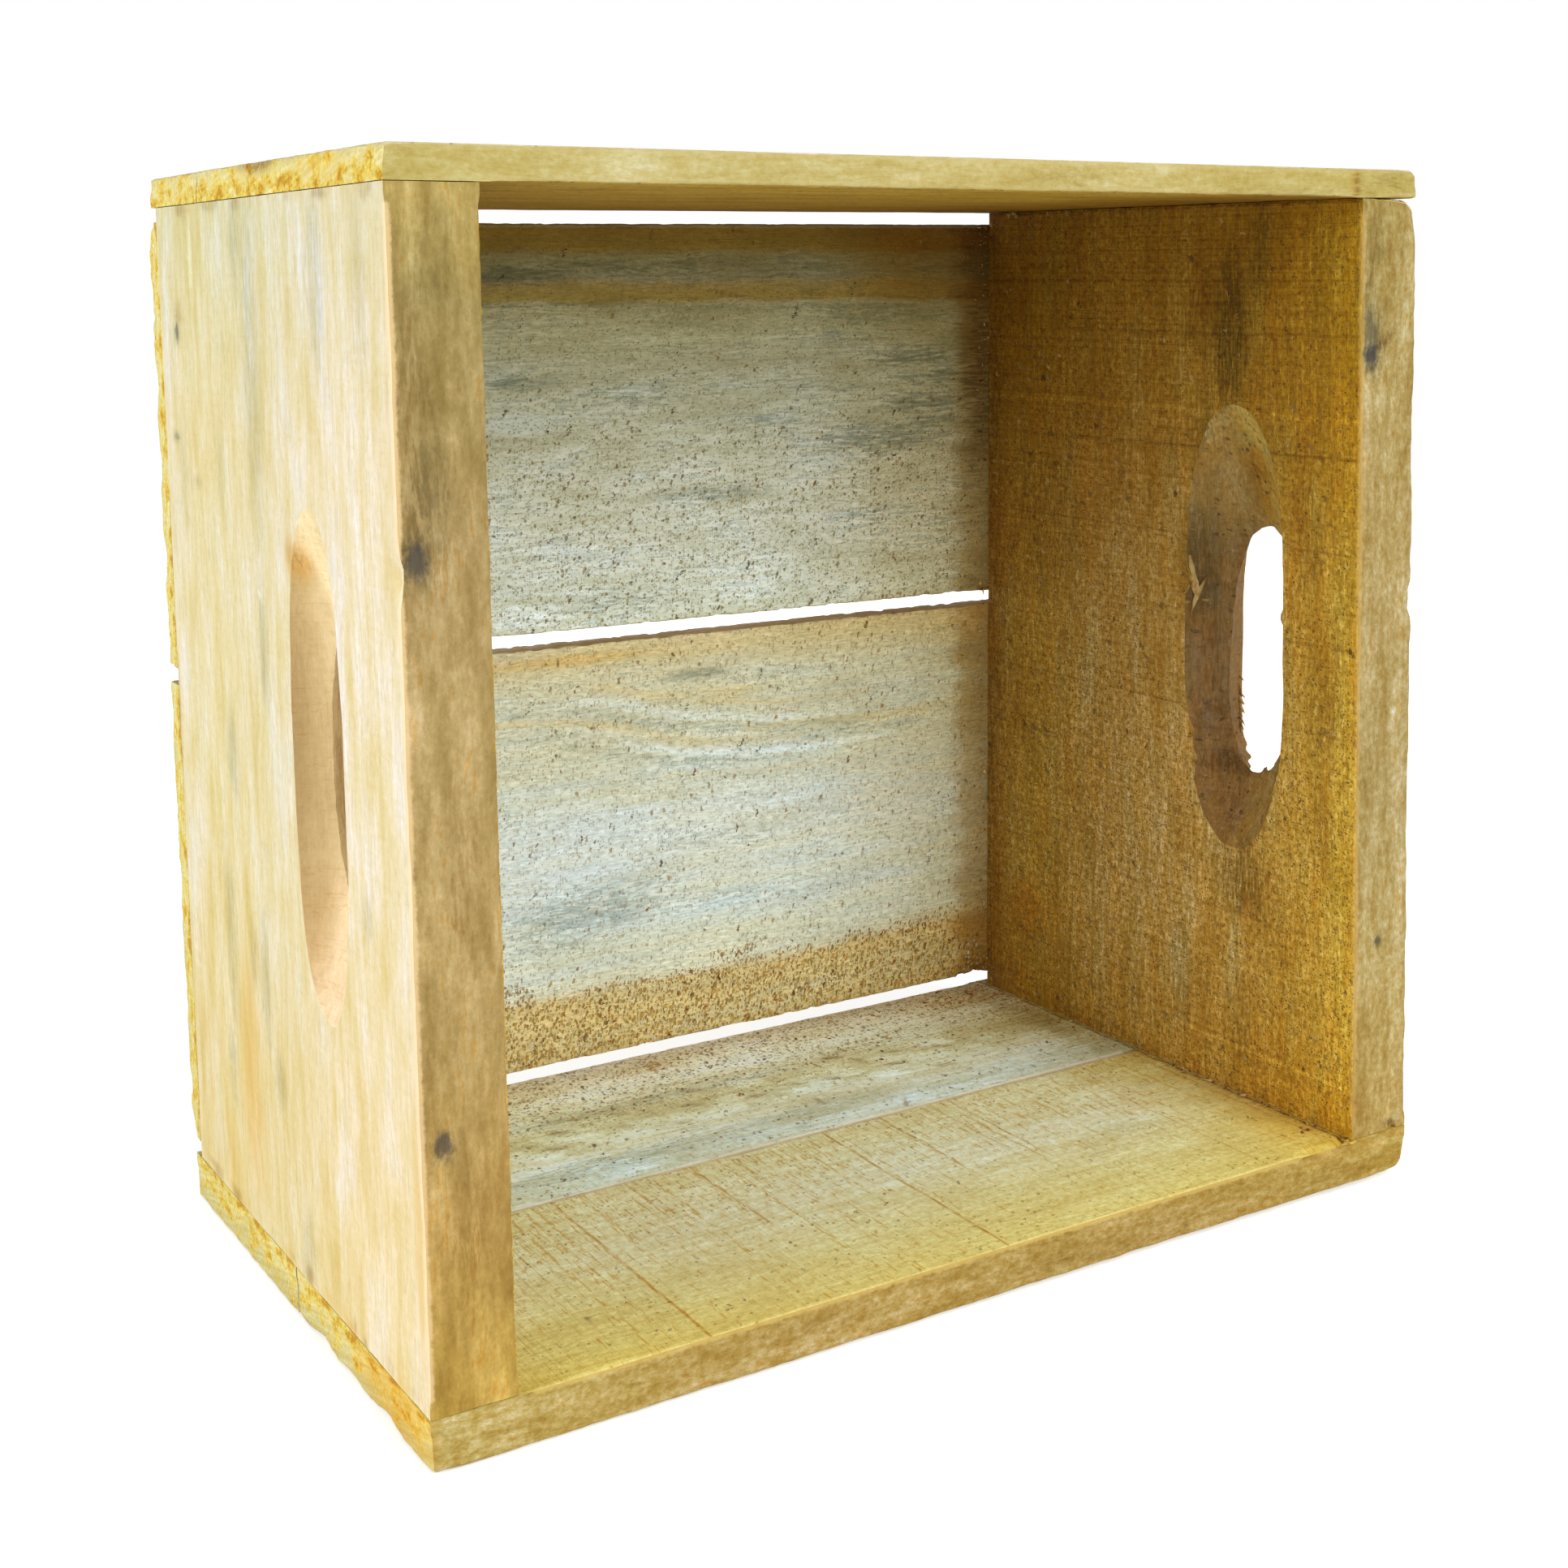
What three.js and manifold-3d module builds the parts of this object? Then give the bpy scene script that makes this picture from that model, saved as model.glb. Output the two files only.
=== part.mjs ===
// A small wooden crate lying on one long side, with its open face to the front.
// X runs along the crate, Y from the open front to the base boards, Z up.
// Lengths are in millimetres. The origin is at the middle of the crate's lowest face.
import * as THREE from 'three';
import { mergeVertices } from 'three/addons/utils/BufferGeometryUtils.js';
import Module from 'manifold-3d';

const wasm = await Module();
wasm.setup();

// End panels, one board each, with the grain upright
const panelHeight = 300;
const panelDepth = 195;
const panelThickness = 24;
const panelFrontRadius = 3.5;
const innerWidth = 290;

// Side boards, nailed along the top and bottom edges of the end panels
const topThickness = 8.5;
const topFrontWidth = 150;
const bottomThickness = 14.5;
const bottomFrontWidthLeft = 101;
const bottomFrontWidthRight = 104;
const sideOverhang = 5.5;
const sideJointGap = 0.6;

// Base boards, nailed to the back edges of the end panels, with air gaps between them
const baseThickness = 10.5;
const baseTopGap = 4;
const baseBottomGap = 5;
const baseMiddleGap = 4.8;
const lowerBaseWidthLeft = 149.5;
const lowerBaseWidthRight = 147.5;

// Edges, corners and the gap where one piece seats on another
const edgeBevel = 0.8;
const cornerRadius = 2.5;
const seatGap = 0.3;

// Hand-holds: a drum cutter with a round-cornered rim is sunk into both faces of the panel,
// and the two hollows meet inside it
const handholdFromFront = 57;
const handholdAboveFoot = 155.5;
const cutterRadius = 150;
const cutterWidth = 47;
const cutterRimRadius = 21;
const innerPlunge = 19.5;
const outerPlunge = 16.5;

// Wire nails, driven just under the surface
const nailLength = 45;
const nailShankRadius = 1.4;
const nailHeadRadius = 3.1;
const nailHeadThickness = 1.2;
const nailPointLength = 4.5;
const nailSink = 0.4;
const nailClearance = 0.3;
const sideNailInset = 8;
const baseNailInset = 16;
const topFrontNails = 3;
const topBackNails = 2;
const bottomFrontNails = 2;
const bottomBackNails = 2;
const baseNails = 3;

// Fineness of the facets
const cornerSegments = 3;
const cutterSegments = 72;
const rimSegments = 4;
const nailSegments = 10;

const woodRoughness = 0.85;
const steelRoughness = 0.5;
const steelMetalness = 0.8;
const colours = {
  leftPanel: 0xd8bd84,
  rightPanel: 0xa97d3a,
  topBoards: 0xcdb377,
  bottomFront: 0xc9ac6c,
  bottomBack: 0xb9b091,
  baseBoards: 0xb5ac8c,
  steel: 0x6d6a66,
};

// Places that follow from the driving dimensions
const outerWidth = innerWidth + 2 * panelThickness;
const totalDepth = panelDepth + seatGap + baseThickness;
const sideDepth = panelDepth + sideOverhang;
const frontY = -totalDepth / 2;
const footZ = bottomThickness + seatGap;
const topZ = footZ + panelHeight + seatGap;
const baseY = frontY + panelDepth + seatGap;

const wood = (color) => new THREE.MeshStandardMaterial({ color, roughness: woodRoughness, metalness: 0 });
const steel = new THREE.MeshStandardMaterial({
  color: colours.steel,
  roughness: steelRoughness,
  metalness: steelMetalness,
});

// A closed outline through corners [x, y, radius], listed counter-clockwise, each rounded off
function roundedOutline(corners) {
  const shape = new THREE.Shape();
  corners.forEach(([x, y, radius], i) => {
    const corner = new THREE.Vector2(x, y);
    const before = new THREE.Vector2(...corners.at(i - 1).slice(0, 2));
    const after = new THREE.Vector2(...corners[(i + 1) % corners.length].slice(0, 2));
    const start = corner.clone().add(before.sub(corner).setLength(radius));
    const end = corner.clone().add(after.sub(corner).setLength(radius));
    if (i === 0) shape.moveTo(start.x, start.y);
    else shape.lineTo(start.x, start.y);
    shape.quadraticCurveTo(corner.x, corner.y, end.x, end.y);
  });
  return shape;
}

// A sawn board: its outline drawn out from 0 to thickness, with bevelled edges at both ends
function boardGeometry(outline, thickness) {
  const geometry = new THREE.ExtrudeGeometry(outline, {
    depth: thickness - 2 * edgeBevel,
    bevelThickness: edgeBevel,
    bevelSize: edgeBevel,
    bevelOffset: -edgeBevel,
    bevelSegments: 1,
    curveSegments: cornerSegments,
  });
  return geometry.translate(0, 0, edgeBevel);
}

function namedMesh(name, geometry, material, position) {
  const mesh = new THREE.Mesh(geometry, material);
  mesh.name = name;
  mesh.position.set(...position);
  return mesh;
}

// End panel, side -1 on the left and 1 on the right. Its section is drawn in X and Y,
// with the worn front edges rounder than the back ones, and it stands on the bottom side.
function endPanel(name, side, material) {
  const half = panelThickness / 2;
  const outline = roundedOutline([
    [-half, 0, panelFrontRadius],
    [half, 0, panelFrontRadius],
    [half, panelDepth, edgeBevel * 2],
    [-half, panelDepth, edgeBevel * 2],
  ]);
  const x = side * (innerWidth / 2 + half);
  return namedMesh(name, boardGeometry(outline, panelHeight), material, [x, frontY, footZ]);
}

// Side board, drawn in plan. Its front and back edges run from the left end to the right end.
function sideBoard(name, front, back, thickness, z, material) {
  const half = outerWidth / 2;
  const outline = roundedOutline([
    [-half, front.left, cornerRadius],
    [half, front.right, cornerRadius],
    [half, back.right, cornerRadius],
    [-half, back.left, cornerRadius],
  ]);
  return namedMesh(name, boardGeometry(outline, thickness), material, [0, frontY, z]);
}

// Base board, drawn in X and Z and turned upright behind the end panels
function baseBoard(name, lower, upper, material) {
  const half = outerWidth / 2;
  const outline = roundedOutline([
    [-half, lower.left, cornerRadius],
    [half, lower.right, cornerRadius],
    [half, upper.right, cornerRadius],
    [-half, upper.left, cornerRadius],
  ]);
  const y = baseY + baseThickness;
  const mesh = namedMesh(name, boardGeometry(outline, baseThickness), material, [0, y, footZ]);
  mesh.rotation.x = Math.PI / 2;
  return mesh;
}

// Drum cutter: a disc about Y whose rim has round corners, so that it leaves a hollow with
// round ends. It is placed so that it sinks into a panel face by the plunge.
function drumCutter(panel, faceSign, plunge) {
  const half = cutterWidth / 2;
  const profile = [new THREE.Vector2(0, -half)];
  for (const end of [-1, 1]) {
    const centre = new THREE.Vector2(cutterRadius - cutterRimRadius, end * (half - cutterRimRadius));
    for (let i = 0; i <= rimSegments; i++) {
      const turn = (i / rimSegments) * Math.PI / 2;
      const angle = end < 0 ? turn - Math.PI / 2 : turn;
      profile.push(new THREE.Vector2(Math.cos(angle), Math.sin(angle)).multiplyScalar(cutterRimRadius).add(centre));
    }
  }
  profile.push(new THREE.Vector2(0, half));
  const cutter = new THREE.Mesh(new THREE.LatheGeometry(profile, cutterSegments));
  const reach = panelThickness / 2 - plunge + cutterRadius;
  cutter.position.copy(panel.position);
  cutter.position.add(new THREE.Vector3(faceSign * reach, handholdFromFront, handholdAboveFoot));
  return cutter;
}

// Nail about its own Y axis, head at the origin and point down, grown by a clearance for its bore.
// A bore also opens upwards, through the surface that the nail is driven below.
function nailGeometry(grow, opening) {
  const profile = [
    [0, opening],
    [nailHeadRadius + grow, opening],
    [nailHeadRadius + grow, -nailHeadThickness - grow],
    [nailShankRadius + grow, -nailHeadThickness - grow],
    [nailShankRadius + grow, nailPointLength - nailLength],
    [0, -nailLength - grow],
  ];
  const points = profile.reverse().map(([radius, height]) => new THREE.Vector2(radius, height));
  return new THREE.LatheGeometry(points, nailSegments);
}

// Nails of one board at one end panel, each in the middle of its share of the board's width
function nailRow({ name, board, panel, count, from, to, place, turn }) {
  const nails = [];
  for (let i = 0; i < count; i++) {
    const along = from + ((i + 0.5) / count) * (to - from);
    const nail = namedMesh(`${name}_${i + 1}`, nailGeometry(0, 0), steel, place(along));
    nail.rotation.x = turn;
    const bore = new THREE.Mesh(nailGeometry(nailClearance, nailSink + nailHeadThickness));
    bore.position.copy(nail.position);
    bore.rotation.copy(nail.rotation);
    board.userData.cutters.push(bore);
    panel.userData.cutters.push(bore);
    nails.push(nail);
  }
  return nails;
}

// A closed solid of a mesh, moved into the frame of the mesh that it cuts
function solidOf(mesh, frame) {
  mesh.updateMatrixWorld();
  const geometry = mesh.geometry.clone();
  geometry.applyMatrix4(frame.matrixWorld.clone().invert().multiply(mesh.matrixWorld));
  geometry.deleteAttribute('normal');
  geometry.deleteAttribute('uv');
  const merged = mergeVertices(geometry);
  const corners = Array.from(merged.index.array);
  const triVerts = [];
  for (let i = 0; i < corners.length; i += 3) {
    const [a, b, c] = corners.slice(i, i + 3);
    if (a !== b && b !== c && c !== a) triVerts.push(a, b, c);
  }
  return new wasm.Manifold(new wasm.Mesh({
    numProp: 3,
    vertProperties: new Float32Array(merged.attributes.position.array),
    triVerts: new Uint32Array(triVerts),
  }));
}

// Takes the cutters out of a mesh and puts the result back as its geometry
function machined(mesh) {
  mesh.updateMatrixWorld();
  let solid = solidOf(mesh, mesh);
  for (const cutter of mesh.userData.cutters ?? []) solid = solid.subtract(solidOf(cutter, mesh));
  const result = solid.getMesh();
  const geometry = new THREE.BufferGeometry();
  geometry.setAttribute('position', new THREE.BufferAttribute(result.vertProperties, 3));
  geometry.setIndex(new THREE.BufferAttribute(result.triVerts, 1));
  geometry.computeVertexNormals();
  mesh.geometry = geometry;
  delete mesh.userData.cutters;
  return mesh;
}

// End panels with their hand-holds, the deeper hollow on the inside
const panels = {
  left: endPanel('end_panel_left', -1, wood(colours.leftPanel)),
  right: endPanel('end_panel_right', 1, wood(colours.rightPanel)),
};
for (const [side, panel] of [[-1, panels.left], [1, panels.right]]) {
  panel.userData.cutters = [drumCutter(panel, -side, innerPlunge), drumCutter(panel, side, outerPlunge)];
}

// Side boards: the joint of the bottom pair runs at a slight slant, as their sawn edges do
const front = { left: 0, right: 0 };
const back = { left: sideDepth, right: sideDepth };
const topJoint = { left: topFrontWidth, right: topFrontWidth };
const bottomJoint = { left: bottomFrontWidthLeft, right: bottomFrontWidthRight };
const behind = (joint) => ({ left: joint.left + sideJointGap, right: joint.right + sideJointGap });
const sides = [
  { name: 'top_board_front', front, back: topJoint, top: true, color: colours.topBoards, nails: topFrontNails },
  { name: 'top_board_back', front: behind(topJoint), back, top: true, color: colours.topBoards, nails: topBackNails },
  { name: 'bottom_board_front', front, back: bottomJoint, top: false, color: colours.bottomFront,
    nails: bottomFrontNails },
  { name: 'bottom_board_back', front: behind(bottomJoint), back, top: false, color: colours.bottomBack,
    nails: bottomBackNails },
];

// Base boards: the lower one a little wider at its left end
const lowerEdge = { left: baseBottomGap, right: baseBottomGap };
const middle = { left: baseBottomGap + lowerBaseWidthLeft, right: baseBottomGap + lowerBaseWidthRight };
const upperStart = { left: middle.left + baseMiddleGap, right: middle.right + baseMiddleGap };
const upperEdge = { left: panelHeight - baseTopGap, right: panelHeight - baseTopGap };
const bases = [
  { name: 'base_board_lower', lower: lowerEdge, upper: middle },
  { name: 'base_board_upper', lower: upperStart, upper: upperEdge },
];

const crate = new THREE.Group();
crate.add(panels.left, panels.right);

const boards = [];
const nails = [];
for (const { name, front: near, back: far, top, color, nails: count } of sides) {
  const thickness = top ? topThickness : bottomThickness;
  const board = sideBoard(name, near, far, thickness, top ? topZ : 0, wood(color));
  board.userData.cutters = [];
  boards.push(board);
  const headZ = top ? topZ + topThickness - nailSink : nailSink;
  for (const [end, side] of [['left', -1], ['right', 1]]) {
    nails.push(...nailRow({
      name: `nail_${name}_${end}`,
      board,
      panel: panels[end],
      count,
      from: near[end],
      to: Math.min(far[end], panelDepth),
      place: (y) => [side * (outerWidth / 2 - sideNailInset), frontY + y, headZ],
      turn: top ? Math.PI / 2 : -Math.PI / 2,
    }));
  }
}
for (const { name, lower, upper } of bases) {
  const board = baseBoard(name, lower, upper, wood(colours.baseBoards));
  board.userData.cutters = [];
  boards.push(board);
  for (const [end, side] of [['left', -1], ['right', 1]]) {
    nails.push(...nailRow({
      name: `nail_${name}_${end}`,
      board,
      panel: panels[end],
      count: baseNails,
      from: lower[end],
      to: upper[end],
      place: (z) => [side * (outerWidth / 2 - baseNailInset), baseY + baseThickness - nailSink, footZ + z],
      turn: 0,
    }));
  }
}
crate.add(...boards, ...nails);
for (const piece of [...crate.children]) machined(piece);

export default crate;
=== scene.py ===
"""Looks of the wooden crate: worn sawn boards with real chips, hollows, nails and sawdust, in a pale studio.

Places and sizes are in mm in the frame of the CAD model. Meshes are turned into metres when they are made.
"""

import math

import bmesh
import bpy
import numpy as np
from mathutils import Matrix, Vector


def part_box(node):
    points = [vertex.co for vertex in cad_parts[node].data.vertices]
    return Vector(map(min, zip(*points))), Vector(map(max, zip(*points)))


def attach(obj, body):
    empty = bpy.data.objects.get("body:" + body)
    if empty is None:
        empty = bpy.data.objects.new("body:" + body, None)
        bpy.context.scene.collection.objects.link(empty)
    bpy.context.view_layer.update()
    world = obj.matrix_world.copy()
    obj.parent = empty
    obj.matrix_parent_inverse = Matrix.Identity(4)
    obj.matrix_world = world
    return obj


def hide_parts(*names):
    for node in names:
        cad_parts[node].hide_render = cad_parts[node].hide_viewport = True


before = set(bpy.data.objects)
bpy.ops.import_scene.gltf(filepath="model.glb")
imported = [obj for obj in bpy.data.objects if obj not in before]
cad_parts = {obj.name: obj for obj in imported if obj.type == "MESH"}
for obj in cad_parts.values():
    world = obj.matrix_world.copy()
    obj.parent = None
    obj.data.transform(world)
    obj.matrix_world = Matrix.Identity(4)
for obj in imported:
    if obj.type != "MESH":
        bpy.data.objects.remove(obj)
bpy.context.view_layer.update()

MM = 0.001

# The crate's main sizes, as in the CAD model
HALF_LENGTH = 169.0
FRONT = -102.9
PANEL_DEPTH = 195.0
PANEL_CENTRE = 157.0
PANEL_HALF = 12.0
FLOOR_Z = 14.5
PANEL_FOOT, PANEL_HEAD = 14.8, 314.8
TOP = 323.6
TOP_UNDER = 315.1
BASE_Y = 92.4
HOLD_Y = FRONT + 57.0
HOLD_Z = PANEL_FOOT + 155.5


# Noise

# Large odd numbers that scatter the points of a lattice
SCATTER_X, SCATTER_Y, SCATTER_Z, SCATTER_SEED = 374761393, 668265263, 1440662683, 1274126177
SCATTER_MIX = 1103515245


def lattice_value(i, j, k, seed):
    """Repeatable value from -1 to 1 at whole-numbered lattice points."""
    h = (i * SCATTER_X + j * SCATTER_Y + k * SCATTER_Z + seed * SCATTER_SEED) & 0xFFFFFFFF
    h = ((h ^ (h >> 13)) * SCATTER_MIX) & 0xFFFFFFFF
    h = ((h ^ (h >> 15)) * SCATTER_Y) & 0xFFFFFFFF
    return ((h >> 8) & 0xFFFF) / 32767.5 - 1.0


def noise(points, size, seed):
    """Smooth noise from -1 to 1, with features of the given size along x, y and z."""
    q = points / np.broadcast_to(np.asarray(size, float), (3,))
    cell = np.floor(q).astype(np.int64)
    t = q - cell
    t = t * t * (3 - 2 * t)
    total = 0
    for dx in (0, 1):
        for dy in (0, 1):
            for dz in (0, 1):
                weight = (t[:, 0] if dx else 1 - t[:, 0]) * (t[:, 1] if dy else 1 - t[:, 1])
                weight = weight * (t[:, 2] if dz else 1 - t[:, 2])
                corner = cell + (dx, dy, dz)
                total = total + weight * lattice_value(*corner.T, seed)
    return total


def rough_noise(points, size, seed, octaves=3):
    """Noise with finer and weaker noise on top of it."""
    size = np.broadcast_to(np.asarray(size, float), (3,))
    return sum(noise(points, size / 2 ** n, seed + n) * 0.5 ** n for n in range(octaves))


def smooth(value, low, high):
    """Share from 0 at low to 1 at high, with soft ends."""
    t = np.clip((value - low) / (high - low), 0, 1)
    return t * t * (3 - 2 * t)


# Meshes

# Distances of the mesh lines from the edge of a face, where it is rounded
EDGE_LINES = (0, 0.25, 0.55, 0.9, 1.4, 2.0, 2.8, 3.8, 5.2)


def lines(low, high, step):
    """Mesh lines from low to high, close together near both ends."""
    middle = (high - low) / 2
    edge = [d for d in EDGE_LINES if d < middle - 0.4]
    inside = high - low - 2 * edge[-1]
    count = max(1, round(inside / step))
    between = edge[-1] + inside * np.arange(1, count) / count
    return low + np.concatenate([edge, between, high - low - np.array(edge[::-1])])


def lattice_box(axes):
    """Points and quads of a closed box whose faces are grids on the given lines, and each quad's axis and end."""
    counts = [len(a) for a in axes]
    corners, sides = [], []
    for axis in range(3):
        u, v = (axis + 1) % 3, (axis + 2) % 3
        i, j = np.meshgrid(np.arange(counts[u] - 1), np.arange(counts[v] - 1), indexing="ij")
        for end in (0, 1):
            ring = ((0, 0), (1, 0), (1, 1), (0, 1)) if end else ((0, 0), (0, 1), (1, 1), (1, 0))
            sides += [(axis, end)] * i.size
            quad = np.zeros((i.size, 4, 3), int)
            quad[:, :, axis] = end * (counts[axis] - 1)
            for n, (du, dv) in enumerate(ring):
                quad[:, n, u] = i.ravel() + du
                quad[:, n, v] = j.ravel() + dv
            corners.append(quad)
    corners = np.concatenate(corners).reshape(-1, 3)
    key = (corners[:, 0] * counts[1] + corners[:, 1]) * counts[2] + corners[:, 2]
    unique, first, inverse = np.unique(key, return_index=True, return_inverse=True)
    index = corners[first]
    points = np.stack([axes[n][index[:, n]] for n in range(3)], axis=1)
    return points, inverse.reshape(-1, 4), np.array(sides)


def rounded(points, low, high, radius):
    """Points of a box moved onto its rounded edges, and the direction that each then faces."""
    radius = radius[:, None]
    inner = np.clip(points, low + radius, high - radius)
    out = points - inner
    length = np.linalg.norm(out, axis=1, keepdims=True)
    facing = out / np.maximum(length, 1e-9)
    return inner + facing * radius, facing


# How far each corner of the real crate is from a square one, as (right, back, top): offset. All point inwards.
CORNER_OFFSETS = {
    (0, 0, 0): (0, 0.1, 0), (0, 0, 1): (2.0, 0, -1.7), (0, 1, 0): (0, -0.1, 0), (0, 1, 1): (3.6, -1.3, 0),
    (1, 0, 0): (0, 0, 1.8), (1, 0, 1): (-3.6, 3.6, -3.1), (1, 1, 0): (-0.5, 0, 0), (1, 1, 1): (0, -0.8, 0),
}
INSIDE = 0.02
INNER_BOX = (-HALF_LENGTH + INSIDE, FRONT + INSIDE, INSIDE), (HALF_LENGTH - INSIDE, -FRONT - INSIDE, TOP - INSIDE)


def racked(points):
    """Points moved as the real crate is out of square, and kept just inside the CAD model's box."""
    share = (points - (-HALF_LENGTH, FRONT, 0)) / (2 * HALF_LENGTH, PANEL_DEPTH, TOP)
    moved = points.copy()
    for corner, offset in CORNER_OFFSETS.items():
        weight = np.prod([share[:, n] if corner[n] else 1 - share[:, n] for n in range(3)], axis=0)
        moved += weight[:, None] * np.array(offset)
    return np.clip(moved, *INNER_BOX)


def mesh_object(name, points, faces):
    """Object in the scene, from points and faces."""
    mesh = bpy.data.meshes.new(name)
    mesh.from_pydata((points * MM).tolist(), [], faces if isinstance(faces, list) else faces.tolist())
    mesh.validate()
    mesh.update()
    thing = bpy.data.objects.new(name, mesh)
    bpy.context.scene.collection.objects.link(thing)
    return thing


def lathe(profile, segments):
    """Points and faces of a solid turned about z from (radius, height) pairs, from the lower pole to the upper."""
    rings = profile[1:-1]
    points = [(0, 0, profile[0][1])]
    for radius, height in rings:
        for s in range(segments):
            turn = 2 * math.pi * s / segments
            points.append((radius * math.cos(turn), radius * math.sin(turn), height))
    points.append((0, 0, profile[-1][1]))

    def ring(r, s):
        return 1 + r * segments + s % segments

    faces = []
    for s in range(segments):
        faces.append([0, ring(0, s + 1), ring(0, s)])
        faces.append([len(points) - 1, ring(len(rings) - 1, s), ring(len(rings) - 1, s + 1)])
        for r in range(len(rings) - 1):
            faces.append([ring(r, s), ring(r, s + 1), ring(r + 1, s + 1), ring(r + 1, s)])
    return np.array(points), faces


def cut(thing, cutter):
    """Takes the cutter out of the object and deletes the cutter."""
    modifier = thing.modifiers.new("cut", "BOOLEAN")
    modifier.operation = "DIFFERENCE"
    modifier.solver = "EXACT"
    modifier.object = cutter
    graph = bpy.context.evaluated_depsgraph_get()
    result = bpy.data.meshes.new_from_object(thing.evaluated_get(graph), depsgraph=graph)
    thing.modifiers.clear()
    thing.data = result
    bpy.data.objects.remove(cutter)


# The hand-holds. A round-rimmed drum is sunk into both faces of a panel, and its axis lies along y. For each cut:
# side of the crate, direction of the face, plunge, width, way back and up from the middle of the CAD model's
# hand-hold, seed, how torn its lower end is, and the radius of the drum's rim, if it isn't nearly half its width
HOLD_CUTS = {
    "left": [(-1, 1, 19.0, 47.0, 7.8, -5, 71), (-1, -1, 16.5, 41.0, 6.4, -4, 81)],
    "right": [(1, -1, 20.0, 48.3, -0.3, 4.5, 70, 1.3), (1, 1, 16.5, 43.0, -0.6, -12, 80, 2.0, 19.5)],
}
CUTTER_RADIUS = 150.0
CUTTER_CORE = CUTTER_RADIUS - 60
CUTTER_HALF_TURN = math.radians(36)
CUTTER_STEPS, RIM_STEPS = 190, 14


def drum_cutter(side, face, plunge, width, back, up, seed, torn=0.0, rim=None):
    """The slice of the drum that cuts one hollow of a hand-hold, slightly uneven."""
    rim = rim or width / 2 - 0.4
    half = width / 2
    profile = [(CUTTER_CORE, -half)]
    for end in (-1, 1):
        for n in range(RIM_STEPS + 1):
            angle = (n / RIM_STEPS) * math.pi / 2
            angle = angle - math.pi / 2 if end < 0 else angle
            profile.append((CUTTER_RADIUS - rim + rim * math.cos(angle), end * (half - rim) + rim * math.sin(angle)))
    profile.append((CUTTER_CORE, half))
    count = len(profile)
    points, faces = [], []
    for s in range(CUTTER_STEPS + 1):
        turn = -CUTTER_HALF_TURN + 2 * CUTTER_HALF_TURN * s / CUTTER_STEPS
        points += [(r * math.cos(turn), y, r * math.sin(turn)) for r, y in profile]
    for s in range(CUTTER_STEPS):
        for n in range(count):
            m = (n + 1) % count
            faces.append([s * count + n, s * count + m, (s + 1) * count + m, (s + 1) * count + n])
    faces.append(list(range(count))[::-1])
    faces.append([CUTTER_STEPS * count + n for n in range(count)])
    if face > 0:
        faces = [f[::-1] for f in faces]
    points = np.array(points)
    centre_y, centre_z = HOLD_Y + back, HOLD_Z + up
    reach = PANEL_HALF - plunge + CUTTER_RADIUS
    points[:, 0] *= -face
    points += (side * PANEL_CENTRE + face * reach, centre_y, centre_z)
    points[:, 1] += 0.6 * noise(points, (9, 9, 14), seed)
    points[:, 2] += 0.7 * noise(points, (9, 9, 9), seed + 1)
    points[:, 0] += 0.30 * noise(points, (20, 4, 3), seed + 2)
    # torn fibres at the lower end of the slot
    low_end = smooth(centre_z - 22 - points[:, 2], 0, 14) * smooth(points[:, 2] - centre_z + 56, 0, 8)
    points[:, 0] += face * torn * low_end * rough_noise(points, (9, 2.2, 3.5), seed + 3)
    behind = smooth(points[:, 1] - centre_y, 2, 14)
    points[:, 1] -= torn * low_end * behind * (1.8 + 1.2 * rough_noise(points, (9, 9, 2.0), seed + 5))
    return mesh_object("cutter", points, faces)


NAIL_HEAD = 3.1
NAIL_SHANK = 1.4
NAIL_LENGTH = 45.0
# Outline of a nail and of its bore with the seat of the head, from the point to the head's face at 0
NAIL_PROFILE = [(0, -NAIL_LENGTH), (0.5, -NAIL_LENGTH + 1.6), (NAIL_SHANK, -NAIL_LENGTH + 4.5), (NAIL_SHANK, -2.6),
                (NAIL_SHANK * 1.15, -1.5), (NAIL_HEAD * 0.85, -1.25), (NAIL_HEAD, -0.95), (NAIL_HEAD, -0.45),
                (NAIL_HEAD * 0.94, -0.15), (NAIL_HEAD * 0.6, -0.02), (0, 0)]
BORE_PROFILE = [(0, -NAIL_LENGTH - 0.3), (NAIL_SHANK + 0.25, -NAIL_LENGTH + 4), (NAIL_SHANK + 0.25, -1.5),
                (NAIL_HEAD + 0.15, -1.5), (NAIL_HEAD + 0.35, 0.2), (NAIL_HEAD + 0.9, 0.8), (NAIL_HEAD + 0.9, 1.6),
                (0, 1.6)]


def board_box(node):
    """Lowest and highest corner of a CAD node."""
    low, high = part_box(node)
    return np.array(low) / MM, np.array(high) / MM


def nail_frame(node):
    """Centre of the head and the direction out of it, from the box of the CAD nail."""
    low, high = board_box(node)
    size = high - low
    axis = int(np.argmax(size))
    centre = (low + high) / 2
    if axis == 1:
        return np.array([centre[0], high[1], centre[2]]), np.array([0.0, 1.0, 0.0])
    up = 1.0 if centre[2] > TOP / 2 else -1.0
    return np.array([centre[0], centre[1], high[2] if up > 0 else low[2]]), np.array([0.0, 0.0, up])


def turned(points, out):
    """Points about z turned so that z becomes the given direction."""
    spin = Vector((0, 0, 1)).rotation_difference(Vector(out)).to_matrix()
    return points @ np.array(spin).T


NAILS = {name: nail_frame(name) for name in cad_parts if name.startswith("nail_")}


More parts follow.
